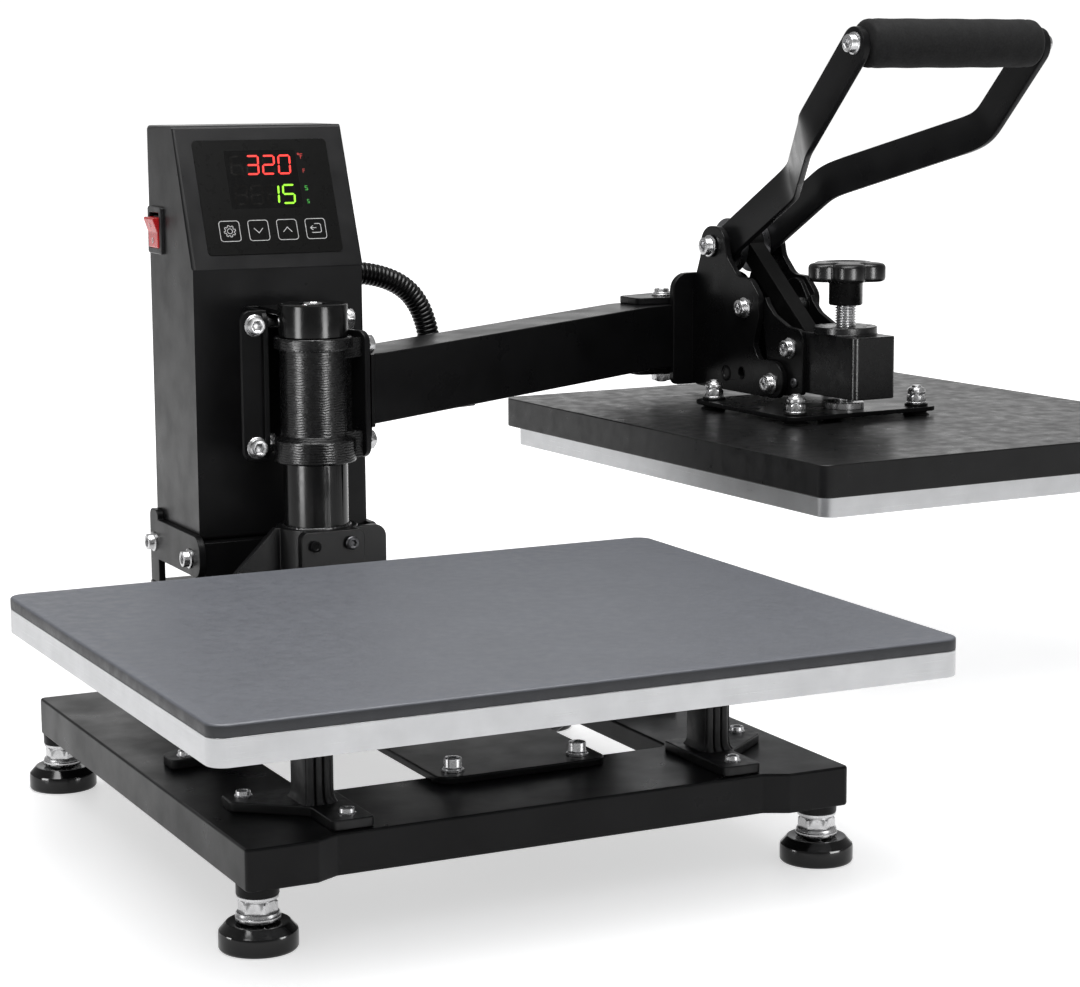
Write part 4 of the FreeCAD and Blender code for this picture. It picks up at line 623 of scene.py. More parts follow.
def mitres(points, closed=True):
    # At each point of a line: the direction to its left, square to the mean run, and how far a corner
    # stretches it
    ahead = np.roll(points, -1, 0) - points
    back = points - np.roll(points, 1, 0)
    if not closed:
        ahead[-1], back[0] = back[-1], ahead[0]
    ahead /= np.linalg.norm(ahead, axis=1)[:, None]
    back /= np.linalg.norm(back, axis=1)[:, None]
    way = ahead + back
    way /= np.linalg.norm(way, axis=1)[:, None]
    return np.stack([-way[:, 1], way[:, 0]], -1), 1 / np.sqrt((1 + (ahead * back).sum(1)) / 2)


def atLevel(ring, level):
    return np.column_stack([ring, np.full(len(ring), level)])


def ribbon(build, points, width, low, high, put, closed=False):
    # Flat strip along a line in the plane: each section is a rectangle square to the line's mean direction
    points = np.array(points, float)
    side, mitre = mitres(points, closed)
    side = side * (width / 2 * np.clip(mitre, 1, 2))[:, None]
    left, right = points + side, points - side
    corners = [(left, low), (right, low), (right, high), (left, high)]
    grid = np.stack([put(c[:, 0], c[:, 1], np.full(len(c), level)) for c, level in corners], 1)
    build.grid(grid, True, not closed, not closed, closed)


def roundedBox(halfWidth, halfHeight, radius, centre=(0, 0), steps=5):
    a, b = centre
    corners = [(a - halfWidth, b - halfHeight, radius), (a + halfWidth, b - halfHeight, radius),
               (a + halfWidth, b + halfHeight, radius), (a - halfWidth, b + halfHeight, radius)]
    return softCorners(corners, steps, True)


def bead(build, centre, way, radius, size):
    # Weld bead round a tube: a round section carried round the axis, whose size at angle a is
    # size * (1 + 0.18 |sin(0.9 a radius / size)| + 0.12 sin(7.3 a + 1))
    side, up, way = axes(way)
    turn = np.radians(np.linspace(0, 360, 300, endpoint=False))
    section = np.linspace(0, 2 * math.pi, 10, endpoint=False)
    wave = 1 + 0.18 * np.abs(np.sin(turn * radius / size * 0.9)) + 0.12 * np.sin(turn * 7.3 + 1)
    r = radius + size * wave[:, None] * np.cos(section)
    h = size * wave[:, None] * np.sin(section)
    ring = np.cos(turn)[:, None, None] * side + np.sin(turn)[:, None, None] * up
    build.grid(np.array(centre) + r[..., None] * ring + h[..., None] * way, loop=True)


def threadRows(build, origin, way, radius, depth, pitch, length, around=30, perTurn=7):
    # Thread: at height h and angle a the radius dips by depth as the phase h / pitch - a / turn goes round
    side, up, way = axes(way)
    angle = np.linspace(0, 2 * math.pi, around, endpoint=False)
    height = np.linspace(0, length, int(length / pitch * perTurn))
    phase = (height[:, None] / pitch - angle / (2 * math.pi)) % 1
    dip = np.clip(np.abs(phase - 0.5) * 2.6 - 0.3, 0, 1)
    r = radius - depth * dip
    ring = np.cos(angle)[:, None] * side + np.sin(angle)[:, None] * up
    points = np.array(origin) + r[..., None] * ring + height[:, None, None] * way
    build.grid(points, True, True, True)


def alongX(a, b, c):
    return np.stack([c, a, b], -1)


def alongY(a, b, c):
    return np.stack([a, c, b], -1)


def alongZ(a, b, c):
    return np.stack([a, b, c], -1)


def inHead(a, b, c):
    # (to the rear, up, sideways) of the mechanism
    return mechanismPoints(c, a, b)


def mechanismPoints(lateral, p, z):
    return swung(np.stack(np.broadcast_arrays(place["rodX"] + lateral, place["rodY"] + p, z), -1))


left = mechanism(-1, 0, 0) - mechanism(0, 0, 0)
upward = np.array((0, 0, 1.0))


# Screws and bolts of the base

baseScrews = {"standX": (102, 134), "standY": (92, 42), "standSeat": -66, "standSize": 2.7,
              "trayX": (-26, 42), "trayY": (-42, 196.5), "traySeat": -67}


def makeBaseScrews():
    build = Builder()
    seat, size = baseScrews["standSeat"], baseScrews["standSize"]
    for sx in (-1, 1):
        for sy in (-1, 1):
            for x, y in zip(baseScrews["standX"], baseScrews["standY"]):
                socketHead(build, (sx * x, sy * y, seat), upward, size, 12, 0.95, 0.8)
    build.make("standoff_screws.round", finishes["bolt"], "base", 30, "bolt_steel", ("standoff_screws",))
    build = Builder()
    for x in baseScrews["trayX"]:
        for y in baseScrews["trayY"]:
            seat = np.array((x, y, baseScrews["traySeat"]), float)
            build.lathe([(5.4, 0), (5.6, 0.2), (5.6, 0.9), (5.3, 1.1)], seat, upward, 36)
            socketHead(build, seat + (0, 0, 1.1), upward, 3.4, 14, 0.82, 1.25)
    build.make("base_bolts.round", finishes["bolt"], "base", 30, "bolt_steel", ("base_bolts",))


makeBaseScrews()

# Base frame, tray and stand-offs

frameLook = {"half": 158, "front": -111, "rear": 219, "barFront": -105, "barHalf": 112, "slant": 11.6,
             "corner": 3, "hole": (98, 104, 70), "holeCorner": 6, "low": -91, "high": -71, "holeLow": -82, "edge": 1.3,
             "feet": ((-148, -97), (148, -97), (-148, 212), (148, 212)), "boss": 9.9, "bossLow": -96}


def raysOn(outline, angles, centre):
    # Points of a star-shaped outline at given angles round a point inside it
    start = outline - centre
    run = np.roll(start, -1, 0) - start
    way = np.stack([np.cos(angles), np.sin(angles)], -1)
    cross = run[:, 0] * way[:, 1:] - run[:, 1] * way[:, :1]
    cross = np.where(np.abs(cross) < 1e-12, 1e-12, cross)
    share = (start[:, 1] * way[:, :1] - start[:, 0] * way[:, 1:]) / cross
    reach = ((start + share[..., None] * run) * way[:, None]).sum(-1)
    reach = np.where((share > -1e-6) & (share < 1 + 1e-6) & (reach > 0), reach, np.inf).min(1)
    return centre + way * reach[:, None]


def drawnIn(ring, amount):
    # Closed ring moved to its left by amount, square to its mean direction at each point
    side, mitre = mitres(ring)
    return ring + side * (amount * mitre)[:, None]


def makeBaseFrame():
    # Rings go up the outside, over the rounded edges, across the top and down the opening's wall
    look = frameLook
    half, bar, slant, corner = look["half"], look["barHalf"], look["slant"], look["corner"]
    front, barFront, rear = look["front"], look["barFront"], look["rear"]
    corners = ((-half, front), (-bar - slant, front), (-bar, barFront), (bar, barFront), (bar + slant, front),
               (half, front), (half, rear), (-half, rear))
    outer = softCorners([(x, y, corner) for x, y in corners], 6, True)
    holeX, holeY, middle = look["hole"]
    inner = roundedBox(holeX, holeY, look["holeCorner"], (0, middle), 8)
    centre = np.array((0.0, middle))
    angles = np.concatenate([np.arctan2(*(ring - centre).T[::-1]) for ring in (outer, inner)])
    angles = np.sort(angles)
    angles = angles[np.concatenate([[True], np.diff(angles) > 1e-4])]
    outside, inside = raysOn(outer, angles, centre), raysOn(inner, angles, centre)
    edge, quarter = look["edge"], np.linspace(0, math.pi / 2, 4)
    rows = [(outside, edge * (1 - math.sin(t)), look["low"] + edge * (1 - math.cos(t))) for t in quarter]
    rows += [(outside, edge * (1 - math.cos(t)), look["high"] - edge * (1 - math.sin(t))) for t in quarter]
    rows += [(inside, -edge * (1 - math.sin(t)), look["high"] - edge * (1 - math.cos(t))) for t in quarter]
    rows += [(inside, -edge * (1 - math.cos(t)), look["holeLow"] + edge * (1 - math.sin(t))) for t in quarter]
    points = [atLevel(drawnIn(ring, inset), level) for ring, inset, level in rows]
    build = Builder()
    build.grid(np.stack(points), True, loop=True)
    r = look["boss"]
    boss = [(r - 0.5, look["bossLow"]), (r, look["bossLow"] + 0.5), (r, look["low"] + 0.5)]
    for x, y in look["feet"]:
        build.lathe(boss, (x, y, 0), upward, 48)
    build.make("base_frame.edged", finishes["frame"], "base", 40, "frame_black", ("base_frame",), even=True)


trayLook = {"outline": ((-38, -54, 8), (54, -54, 8), (54, 10, 4), (88, 45, 4), (88, 106, 2), (131, 106, 4),
                        (131, 505, 0.5), (0, 505, 0.5), (0, 465, 4), (-38, 425, 6)),
            "low": -71, "high": -67, "wallX": (-38, -34, 127, 131), "boss": (68, 372, 9.9, -96),
            "wall": ((150, -67, 0.5), (190, -55, 6), (330, -55, 6), (350, -67, 0.5))}


def makeTray():
    look = trayLook
    tray = Builder()
    slab(tray, softCorners(look["outline"], 6, True), look["low"], look["high"], alongZ)
    x0, x1, x2, x3 = look["wallX"]
    for left, right in ((x0, x1), (x2, x3)):
        slab(tray, softCorners(look["wall"], 5, True), left, right, alongX)
    x, y, radius, low = look["boss"]
    tray.lathe([(radius - 0.5, low), (radius, low + 0.5), (radius, look["low"] + 1)], (x, y, 0), upward, 48)
    tray.make("spine_tray.edged", finishes["frame"], "base", 35, "frame_black", ("spine_tray",), bevel=0.9)


standLook = {"x": 106.5, "y": 60, "half": (7.6, 9.5), "corner": 2.4, "rib": 2.0, "ribs": (-4.5, -0.4, 3.7),
             "foot": ((92, -102, 3), (113, -102, 3), (113, -74, 4), (143, -50, 4), (143, -34.5, 3), (92, -40, 3)),
             "footLow": -71, "footHigh": -66, "flange": (11, 12.5), "flangeLow": -27.6, "top": -19,
             "sections": ((-66.5, 1.22), (-65.6, 1.16), (-64.4, 1.07), (-62.5, 1.02), (-60, 1), (-45, 1),
                          (-30, 1), (-27.4, 1.01))}


def standSection():
    # Rounded rectangle whose front side carries half-round ribs
    look = standLook
    a, b = look["half"]
    front = [(-a, -b + 1.2), (-a + 0.7, -b)]
    for middle in look["ribs"]:
        turn = np.linspace(math.pi, 2 * math.pi, 9)
        front += [(middle + look["rib"] * math.cos(t), -b + look["rib"] * math.sin(t)) for t in turn]
    front += [(a - 0.7, -b), (a, -b + 1.2)]
    back = softCorners([(a, 0), (a, b, look["corner"]), (-a, b, look["corner"]), (-a, 0)], 5)
    return np.vstack([front, back])


def makeStandoffs():
    look = standLook
    section = standSection()
    for name, sy in (("standoffs_front", 1), ("standoffs_rear", -1)):
        columns, plates = Builder(), Builder()
        for sx in (-1, 1):
            middle = (sx * look["x"], -sy * look["y"])
            rows = [atLevel(np.array(middle) + section * (1, sy) * size, level)
                    for level, size in look["sections"]]
            columns.grid(np.stack(rows), True, True, True)

            def put(a, b, c):
                return np.stack([sx * a, sy * b, c], -1)

            slab(plates, softCorners(look["foot"], 5, True), look["footLow"], look["footHigh"], put)
            flange = roundedBox(*look["flange"], 3, (look["x"], -look["y"]))
            slab(plates, flange, look["flangeLow"], look["top"], put)
        columns.make(name + ".columns", finishes["cast"], "base", 35, "cast_black", (name,))
        plates.make(name + ".plates", finishes["cast"], "base", 35, "cast_black", bevel=0.7)


makeBaseFrame()
makeTray()
makeStandoffs()
print("base frame, tray and stand-offs")

# Feet and their jam nuts

footLook = {"places": {"foot_front_left": (-148, -97), "foot_front_right": (148, -97),
                       "foot_rear_left": (-148, 212), "foot_rear_right": (148, 212), "foot_tower": (68, 372)},
            "rows": [(16.8, 0), (17.8, 0.3), (18.3, 1.2), (18.3, 7.8), (18.0, 8.8), (17.2, 9.6), (15.2, 11.9),
                     (14.6, 12.4), (13.6, 12.5), (11.5, 12.1), (8, 12.1), (5.2, 12.4)],
            "nut": [(8.6, 13), (10.1, 13.2), (10.5, 14), (10.5, 15.2), (9.9, 15.7), (10.2, 16.2), (9.8, 17),
                    (9.2, 17.3)],
            "flats": 16, "hex": (17.2, 22.4), "washer": (9.6, 23.5, 25), "stemLow": 11.8,
            "thread": (5, 0.5, 1.5, 34)}


def makeFeet():
    look = footLook
    nuts = Builder()
    for name, (x, y) in look["places"].items():
        origin = np.array((x, y, place["floor"]), float)
        disc = Builder()
        disc.lathe(look["rows"], origin, upward, 64)
        disc.make(name + ".disc", finishes["foot"], name, 28, "foot_black", (name,))
        stem = Builder()
        threadRows(stem, origin + (0, 0, look["stemLow"]), upward, *look["thread"])
        stem.make(name + ".stem", finishes["bolt"], name, 40, "foot_black")
        nuts.lathe(look["nut"], origin, upward, 48)
        low, high = look["hex"]
        hexNut(nuts, origin + (0, 0, low), upward, look["flats"], high - low, 5.2)
        ring, low, high = look["washer"]
        washer = [(7.6, look["hex"][1] - 0.2), (7.6, low), (ring - 0.2, low), (ring, low + 0.2),
                  (ring, high - 0.15), (ring - 0.2, high - 0.02)]
        nuts.lathe(washer, origin, upward, 48)
    nuts.make("foot_jam_nuts.round", finishes["bolt"], "base", 28, "bolt_steel", ("foot_jam_nuts",))


makeFeet()
print("feet")

# Tower: flange beside the sleeve with two bolts, cross bolts, cap and welds

towerLook = {"flangeX": (23.6, 40.5), "flangeY": (381, 385), "z": (27, 122), "round": 6, "boltX": 32.3,
             "boltZ": (112.6, 35.3), "crossY": 399, "lugRight": 99, "tabRight": 44, "leg": 37,
             "cradleY": (425, 497), "cradleZ": -40, "cradleX": (0.5, 5, 116, 121), "pin": 3.9, "nut": (12.4, 4.0)}


def makeTower():
    look = towerLook
    (x0, x1), (y0, y1), (z0, z1), r = look["flangeX"], look["flangeY"], look["z"], look["round"]
    flange = Builder()
    slab(flange, softCorners([(x0, z0, r), (x1, z0, 0.6), (x1, z1, 0.6), (x0, z1, r)], 6, True), y0, y1, alongY)
    flange.make("tower_flange", finishes["frame"], "base", 30, "frame_black", bevel=0.6)
    bolts = Builder()
    for z in look["boltZ"]:
        socketHead(bolts, (look["boltX"], y0, z), (0, -1, 0), 4.2, 8)
    for z, end in zip(look["boltZ"], (look["lugRight"], look["tabRight"])):
        rod(bolts, (look["leg"] - 0.3, look["crossY"], z), (1, 0, 0), 3.9, end - look["leg"] + 0.3)
        hexNut(bolts, (end, look["crossY"], z), (1, 0, 0), 12.4, 5.2, 4.0, 6.6, 1.2)
    (flats, bore), z = look["nut"], look["cradleZ"]
    headX, innerX, pinX, farX = look["cradleX"]
    for y in look["cradleY"]:
        socketHead(bolts, (headX, y, z), (-1, 0, 0), 4.0, 10)
        hexNut(bolts, (innerX, y, z), (1, 0, 0), flats, 5, bore)
        rod(bolts, (pinX, y, z), (1, 0, 0), look["pin"], 9.6)
        hexNut(bolts, (farX, y, z), (-1, 0, 0), flats, 5, bore)
    bolts.make("tower_bolts.round", finishes["bolt"], "base", 30, "bolt_steel", ("tower_bolts",))


capLook = {"rows": [(21.6, 105.3), (22, 105.7), (22, 124.9), (21.7, 125.6), (21.0, 126), (9.6, 126), (9.3, 125.7),
                    (9.2, 121.4)], "boltSeat": 120.4, "pin": (-9.5, -11.5)}


def makeCap():
    axis = np.array((place["postX"], place["postY"], 0), float)
    cap = Builder()
    cap.lathe(capLook["rows"], axis, upward, 72)
    cap.make("post_cap.round", finishes["post"], "base", 30, "post_black", ("post_cap",))
    bolts = Builder()
    socketHead(bolts, axis + (0, 0, capLook["boltSeat"]), upward, 4.6, 12)
    x, y = capLook["pin"]
    bolts.lathe([(2.2, 0), (2.2, 0.25), (1.9, 0.4), (1.1, 0.4), (0.9, 0.1)], axis + (x, y, 126), upward, 24)
    bolts.make("post_cap_bolts", finishes["bolt"], "base", 30, "bolt_steel")


socketScrews = {"left": (55.2, -23.8), "right": (79.5, -23.4), "face": 341}


def makeSocketScrews():
    dark = Builder()
    x, z = socketScrews["left"]
    plug = [(3.6, 0), (3.6, 0.3), (3.2, 0.5), (2.2, 0.5), (1.9, 0.15)]
    dark.lathe(plug, (x, socketScrews["face"], z), (0, -1, 0), 30)
    dark.make("socket_plug", finishes["frame"], "base", 30, "frame_black")
    screw = Builder()
    x, z = socketScrews["right"]
    socketHead(screw, (x, socketScrews["face"], z), (0, -1, 0), 2.9, 5, 0.9, 0.6)
    screw.make("socket_screw", finishes["steelDark"], "base", 30, "bolt_steel")


weldLook = {"sleeve": ((40.3, 22.2, 1.1), (97.7, 22.0, 0.7)), "socket": (-15, 21.2, 0.9)}


def makeWelds():
    # Beads round the post's axis, each (height, radius, size)
    axis = np.array((place["postX"], place["postY"], 0), float)
    arm = Builder()
    for z, radius, size in weldLook["sleeve"]:
        bead(arm, axis + (0, 0, z), upward, radius, size)
    arm.make("sleeve_welds", finishes["weld"], "arm", 60, "frame_black")
    base = Builder()
    z, radius, size = weldLook["socket"]
    bead(base, axis + (0, 0, z), upward, radius, size)
    base.make("socket_weld", finishes["weld"], "base", 60, "frame_black")


makeTower()
makeCap()
makeSocketScrews()
makeWelds()
print("tower")

# Bolts of the arm: hex nuts of the flange, clamp bolts over and under the arm

armLook = {"flange": 28.5, "across": 14, "flangeZ": (37.7, 98.7), "clampAlong": (324, 370), "clampTop": 110.75,
           "clampLow": 56.25, "flangeNut": (11.6, 5.0, 4.0, 6.3, 0.5), "clampNut": (12.4, 5, 4.0, 6.6, 1),
           "clampHead": (4.0, 60, 0.95, 0.75), "washer": [(7.0, 0), (7.2, 0.2), (7.2, 0.9), (7.0, 1.1)]}


def makeArmBolts():
    look = armLook
    build = Builder()
    outward = alongArm(1, 0, 0) - alongArm(0, 0, 0)
    for across in (-look["across"], look["across"]):
        for z in look["flangeZ"]:
            seat = alongArm(look["flange"], across, z)
            hexNut(build, seat, outward, *look["flangeNut"])
            rod(build, seat - outward * 12, outward, 3.9, 12.5)
    for along in look["clampAlong"]:
        top = alongArm(along, 0, look["clampTop"])
        low = alongArm(along, 0, look["clampLow"])
        build.lathe(look["washer"], top, upward, 36)
        socketHead(build, top + upward * look["washer"][-1][1], upward, *look["clampHead"])
        hexNut(build, low, -upward, *look["clampNut"])
    build.make("arm_bolts.round", finishes["bolt"], "arm", 30, "bolt_steel", ("arm_bolts",))


makeArmBolts()

# Bolts of the head's mechanism

pinPlace = {"handle": (125, 148), "stub": (82.6, 108), "link": (35, 84), "press": (50, 59), "tie": (105, 61),
            "cheek": (29, 61), "grip": (-105.7, 285), "sideOuter": 25.4, "cheekOuter": 20.5,
            "barOuter": 72.5, "stubNut": (17.4, 10.4, 4.4, 3.6), "tieRod": (25.2, 4.0),
            "cheekRod": (20.4, 2.8, 6),
            "tieHead": [(5.6, 0), (5.6, 0.25), (5.2, 0.45), (3.0, 0.45), (2.8, 0.1)],
            "cheekHead": [(3.4, 0), (3.4, 0.8), (2.9, 1.3), (1.7, 1.4), (1.5, 0.5)]}


def pinHeads(build, name, lateral, radius, shank, tall=1.0, flange=1.0):
    p, z = pinPlace[name]
    for sign in (-1, 1):
        socketHead(build, mechanism(sign * lateral, p, z), -sign * left, radius, shank, flange, tall)


def makePinBolts():
    arm = Builder()
    pinHeads(arm, "stub", pinPlace["sideOuter"], 4.35, 14)
    pinHeads(arm, "press", pinPlace["sideOuter"], 4.4, 24)
    p, z = pinPlace["stub"]
    inward, flats, height, bore = pinPlace["stubNut"]
    for sign in (-1, 1):
        hexNut(arm, mechanism(sign * inward, p, z), sign * left, flats, height, bore)
    arm.make("pivot_bolts.round", finishes["bolt"], "arm", 30, "bolt_steel", ("pivot_bolts",))
    dark = Builder()
    p, z = pinPlace["tie"]
    for sign in (-1, 1):
        dark.lathe(pinPlace["tieHead"], mechanism(sign * pinPlace["sideOuter"], p, z), -sign * left, 36)
    half, radius = pinPlace["tieRod"]
    rod(dark, mechanism(half, p, z), left, radius, 2 * half)
    dark.make("tie_bolt", finishes["plate"], "arm", 30, "plate_black")
    press = Builder()
    pinHeads(press, "link", pinPlace["cheekOuter"], 4.3, 20, 0.95)
    press.make("link_pin", finishes["bolt"], "press_arm", 30, "bolt_steel", ("cheek_bolts",))
    small = Builder()
    p, z = pinPlace["cheek"]
    inward, radius, length = pinPlace["cheekRod"]
    for sign in (-1, 1):
        small.lathe(pinPlace["cheekHead"], mechanism(sign * pinPlace["cheekOuter"], p, z), -sign * left, 30)
        rod(small, mechanism(sign * inward, p, z), sign * left, radius, length)
    small.make("cheek_screws", finishes["steelDark"], "press_arm", 30, "bolt_steel")
    handle = Builder()
    p, z = pinPlace["handle"]
    for sign in (-1, 1):
        socketHead(handle, mechanism(sign * (pinPlace["sideOuter"] + 1), p, z), -sign * left, 4.6, 0, 1.03, 1.0)
    pinHeads(handle, "grip", pinPlace["barOuter"], 4.2, 5)
    handle.make("handle_bolts.round", finishes["bolt"], "handle", 30, "bolt_steel", ("handle_bolts",))


makePinBolts()


clampLook = {"left": -41, "right": -19, "low": 49, "high": 128, "round": 12, "p": (149.2, 154.8)}


def makeClampPlate():
    look = clampLook
    corners = [(look["left"], look["low"], 5), (look["right"], look["low"], 0.5),
               (look["right"], look["high"], 0.5), (look["left"], look["high"], look["round"])]
    build = Builder()

    def put(lateral, z, p):
        return mechanismPoints(lateral, p, z)

    slab(build, softCorners(corners, 7, True), *look["p"], put)
    build.make("clamp_plate_edge", finishes["arm"], "arm", 30, "frame_black", bevel=0.8)


makeClampPlate()
print("bolts")

# Handle bars: flat bars with eased bends, and the foam grip

handleLook = {"bends": ((0, 0), (-83.3, 47.0), (-177.4, 82.1), (-230.7, 137.0)),
              "spread": (14.5, 14.5, 70.0, 70.0), "ease": 17, "half": 12, "thick": 2.5, "round": 0.9}


def makeHandleBars():
    # The section, a rounded rectangle, is carried along the eased line; near the ends its half width is
    # sqrt(half^2 - d^2), d being the distance past the pin, so the bar ends round
    look = handleLook
    bends, spread = np.array(look["bends"], float), np.array(look["spread"], float)
    runs = np.concatenate([[0], np.cumsum(np.linalg.norm(np.diff(bends, axis=0), axis=1))])
    fine = np.linspace(0, runs[-1], 900)
    raw = np.stack([np.interp(fine, runs, bends[:, 0]), np.interp(fine, runs, bends[:, 1]),
                    np.interp(fine, runs, spread)], -1)
    width = int(look["ease"] / (runs[-1] / 900))
    weight = np.hanning(2 * width + 3)[1:-1]
    weight /= weight.sum()
    padded = np.vstack([2 * raw[0] - raw[width:0:-1], raw, 2 * raw[-1] - raw[-2:-width - 2:-1]])
    line = np.stack([np.convolve(padded[:, k], weight, "valid") for k in range(3)], -1)[::9]
    way = np.gradient(line[:, :2], axis=0)
    way /= np.linalg.norm(way, axis=1)[:, None]
    past = look["half"] * np.sin(np.linspace(0, math.pi / 2, 9))[1:]
    start = [np.append(line[0, :2] - way[0] * d, line[0, 2]) for d in past[::-1]]
    end = [np.append(line[-1, :2] + way[-1] * d, line[-1, 2]) for d in past]
    beyond = np.concatenate([past[::-1], np.zeros(len(line)), past])
    line = np.vstack([start, line, end])
    way = np.vstack([np.repeat(way[:1], len(past), 0), way, np.repeat(way[-1:], len(past), 0)])
    across = np.stack([-way[:, 1], way[:, 0]], -1)
    half = np.sqrt(np.maximum(look["half"] ** 2 - beyond ** 2, 0.15))
    section = roundedBox(look["half"], look["thick"], look["round"], steps=4)
    share = section[:, 0] / look["half"]
    for name, sign in (("handle_bar_near", -1), ("handle_bar_far", 1)):
        pz = line[:, None, :2] + across[:, None, :] * (half[:, None] * share)[..., None]
        lateral = sign * line[:, None, 2] + section[:, 1]
        points = mechanismPoints(lateral, pinPlace["handle"][0] + pz[..., 0], pinPlace["handle"][1] + pz[..., 1])
        build = Builder()
        build.grid(points, True, True, True)
        build.make(name + ".eased", finishes["bar"], "handle", 40, "bar_black", (name,))


gripLook = {"half": 65, "radius": 15,
            "rows": ((0, 8), (0, 12.4), (0.5, 13.8), (1.6, 14.6), (3.4, 14.9), (6, 14.75), (8, 15))}


def makeGrip():
    p, z = pinPlace["grip"]
    rows = list(gripLook["rows"])
    inner = np.linspace(8, gripLook["half"], 26)[1:]
    rows += [(d, gripLook["radius"] + 0.12 * math.sin(d * 0.23)) for d in inner]
    full = [(r, -gripLook["half"] + d) for d, r in rows] + [(r, gripLook["half"] - d) for d, r in rows[-2::-1]]
    build = Builder()
    build.lathe(full, mechanism(0, p, z), left, 64)
    grip = build.make("foam_grip.soft", finishes["foam"], "handle", 50, "foam_black", ("foam_grip",))


makeHandleBars()
makeGrip()

# Star knob, pressure screw with dark discs painted as the shaded holes of its flange, and the head's studs

knobLook = {"lobes": 5, "radius": 26.2, "dip": 7.6, "spin": 29, "rows": (
    (6.9, 115.4, 0), (10.4, 115, 0), (11.2, 115.8, 0), (11.2, 129.2, 0), (12.2, 130.4, 0), (17, 130.6, 0.2),
    (2.2, 130.9, 1), (0.7, 131.6, 1), (0.1, 132.8, 1), (0, 134, 1), (0, 140.2, 1), (0.4, 141.5, 1),
    (1.5, 142.5, 1), (3.4, 143, 1), (6, 143.3, 1), (14.4, 143.7, 0), (13.6, 143.6, 0), (12.8, 143.1, 0),
    (7, 142.9, 0))}


def makeKnob():
    # Lobed rows: at angle a the radius is R - inset - dip * (1 - |cos(n (a - spin) / 2)|)^1.25, plain rows are
    # round; a row's last number is the share of the lobes
    look = knobLook
    angle = np.linspace(0, 2 * math.pi, 168, endpoint=False)
    lobe = look["dip"] * (1 - np.abs(np.cos(look["lobes"] * (angle - math.radians(look["spin"])) / 2))) ** 1.25
    rows = []
    for radius, height, lobed in look["rows"]:
        ring = look["radius"] - radius - lobe if lobed == 1 else np.full(len(angle), radius) - lobe * lobed
        rows.append(np.stack([ring * np.cos(angle), ring * np.sin(angle), np.full(len(angle), height)], -1))
    points = np.stack(rows)
    build = Builder()
    build.grid(points + mechanism(0, 0, 0), True, True, True)
    build.make("star_knob.lobed", finishes["knob"], "star_knob", 45, "knob_black", ("star_knob",))


screwLook = {"ball": 5.7, "ballZ": 52.0, "from": 55, "radius": 6.9, "depth": 1.35, "pitch": 1.75,
             "length": 80}


def makeScrew():
    look = screwLook
    build = Builder()
    centre = mechanism(0, 0, 0)
    turns = np.linspace(-1.5, 1.2, 12)
    ball = [(look["ball"] * math.cos(t), look["ballZ"] + look["ball"] * math.sin(t)) for t in turns]
    build.lathe(ball, centre, upward, 36)
    threadRows(build, centre + (0, 0, look["from"]), upward, look["radius"], look["depth"], look["pitch"],
               look["length"], 36, 8)
    build.make("pressure_screw.threaded", finishes["screw"], "pressure_screw", 24, "screw_steel",
               ("pressure_screw",))


pressHoleShades = {"reach": 15.5, "size": 1.5, "top": 101, "angles": (20, 65, 115, 160, 205, 245, 290, 335)}


def makePressHoleShades():
    # Painted shade: each hole of the flange is a near-black disc standing just proud of the top, not a bore
    dark = Builder()
    reach, r = pressHoleShades["reach"], pressHoleShades["size"]
    for turn in np.radians(pressHoleShades["angles"]):
        spot = mechanism(reach * math.cos(turn), reach * math.sin(turn), pressHoleShades["top"])
        dark.lathe([(r, -0.4), (r, 0.04), (r - 0.15, 0.06)], spot, upward, 20)
    dark.make("press_flange_holes", finishes["hole"], "press_arm", 30, "block_black")


makePressHoleShades()

studLook = {"side": 49, "front": -14, "rear": 84, "top": 46,
            "washer": [(7.4, 0), (7.8, 0.3), (7.8, 1.3), (7.5, 1.7), (4, 1.7)],
            "collar": [(6.4, 1.7), (6.6, 1.9), (6.6, 2.4), (6.3, 2.6)], "nut": (2.6, 11.0, 4.4, 4.0),
            "cap": [(4.5, 6.8), (4.5, 7.6), (5.4, 7.8), (6.0, 8.4), (6.1, 9.6), (5.9, 10.8), (5.2, 11.9),
                    (3.9, 12.5), (3.3, 12.6), (3.1, 13.4), (2.5, 13.8)],
            "ring": [(12.6, 0), (13, 0.3), (13, 4.0), (12.6, 4.5), (6.4, 4.5), (6.2, 4.2)]}


def makeStuds():
    # Each stud: black washer, collar, hex nut, rounded nut and the stud's end; and the ring round the
    # pressure screw's lower end
    look = studLook
    bright, dark = Builder(), Builder()
    for lateral in (-look["side"], look["side"]):
        for p in (look["front"], look["rear"]):
            seat = mechanism(lateral, p, look["top"])
            dark.lathe(look["washer"], seat, upward, 40)
            bright.lathe(look["collar"], seat, upward, 40)
            height, *nut = look["nut"]
            hexNut(bright, seat + upward * height, upward, *nut)
            bright.lathe(look["cap"], seat, upward, 40)
            rod(bright, seat - upward * 20, upward, 3.9, 22)
    bright.lathe(look["ring"], mechanism(0, 0, look["top"]), upward, 56)
    bright.make("head_studs.round", finishes["bolt"], "head", 28, "bolt_steel", ("head_studs",))
    dark.make("stud_washers", finishes["plate"], "head", 30, "plate_black")


makeKnob()
makeScrew()
makeStuds()
print("handle, knob and studs")

# Hose: corrugated, bent from the box to the arm

hoseLook = {"control": ((122.5, 466, 137), (159.65, 466, 137), (190.7, 466, 105.95), (190.7, 466, 68.8)),
            "root": 6.45, "crest": 7.6, "pitch": 3.0, "around": 40, "perRib": 10, "pathStep": 6}


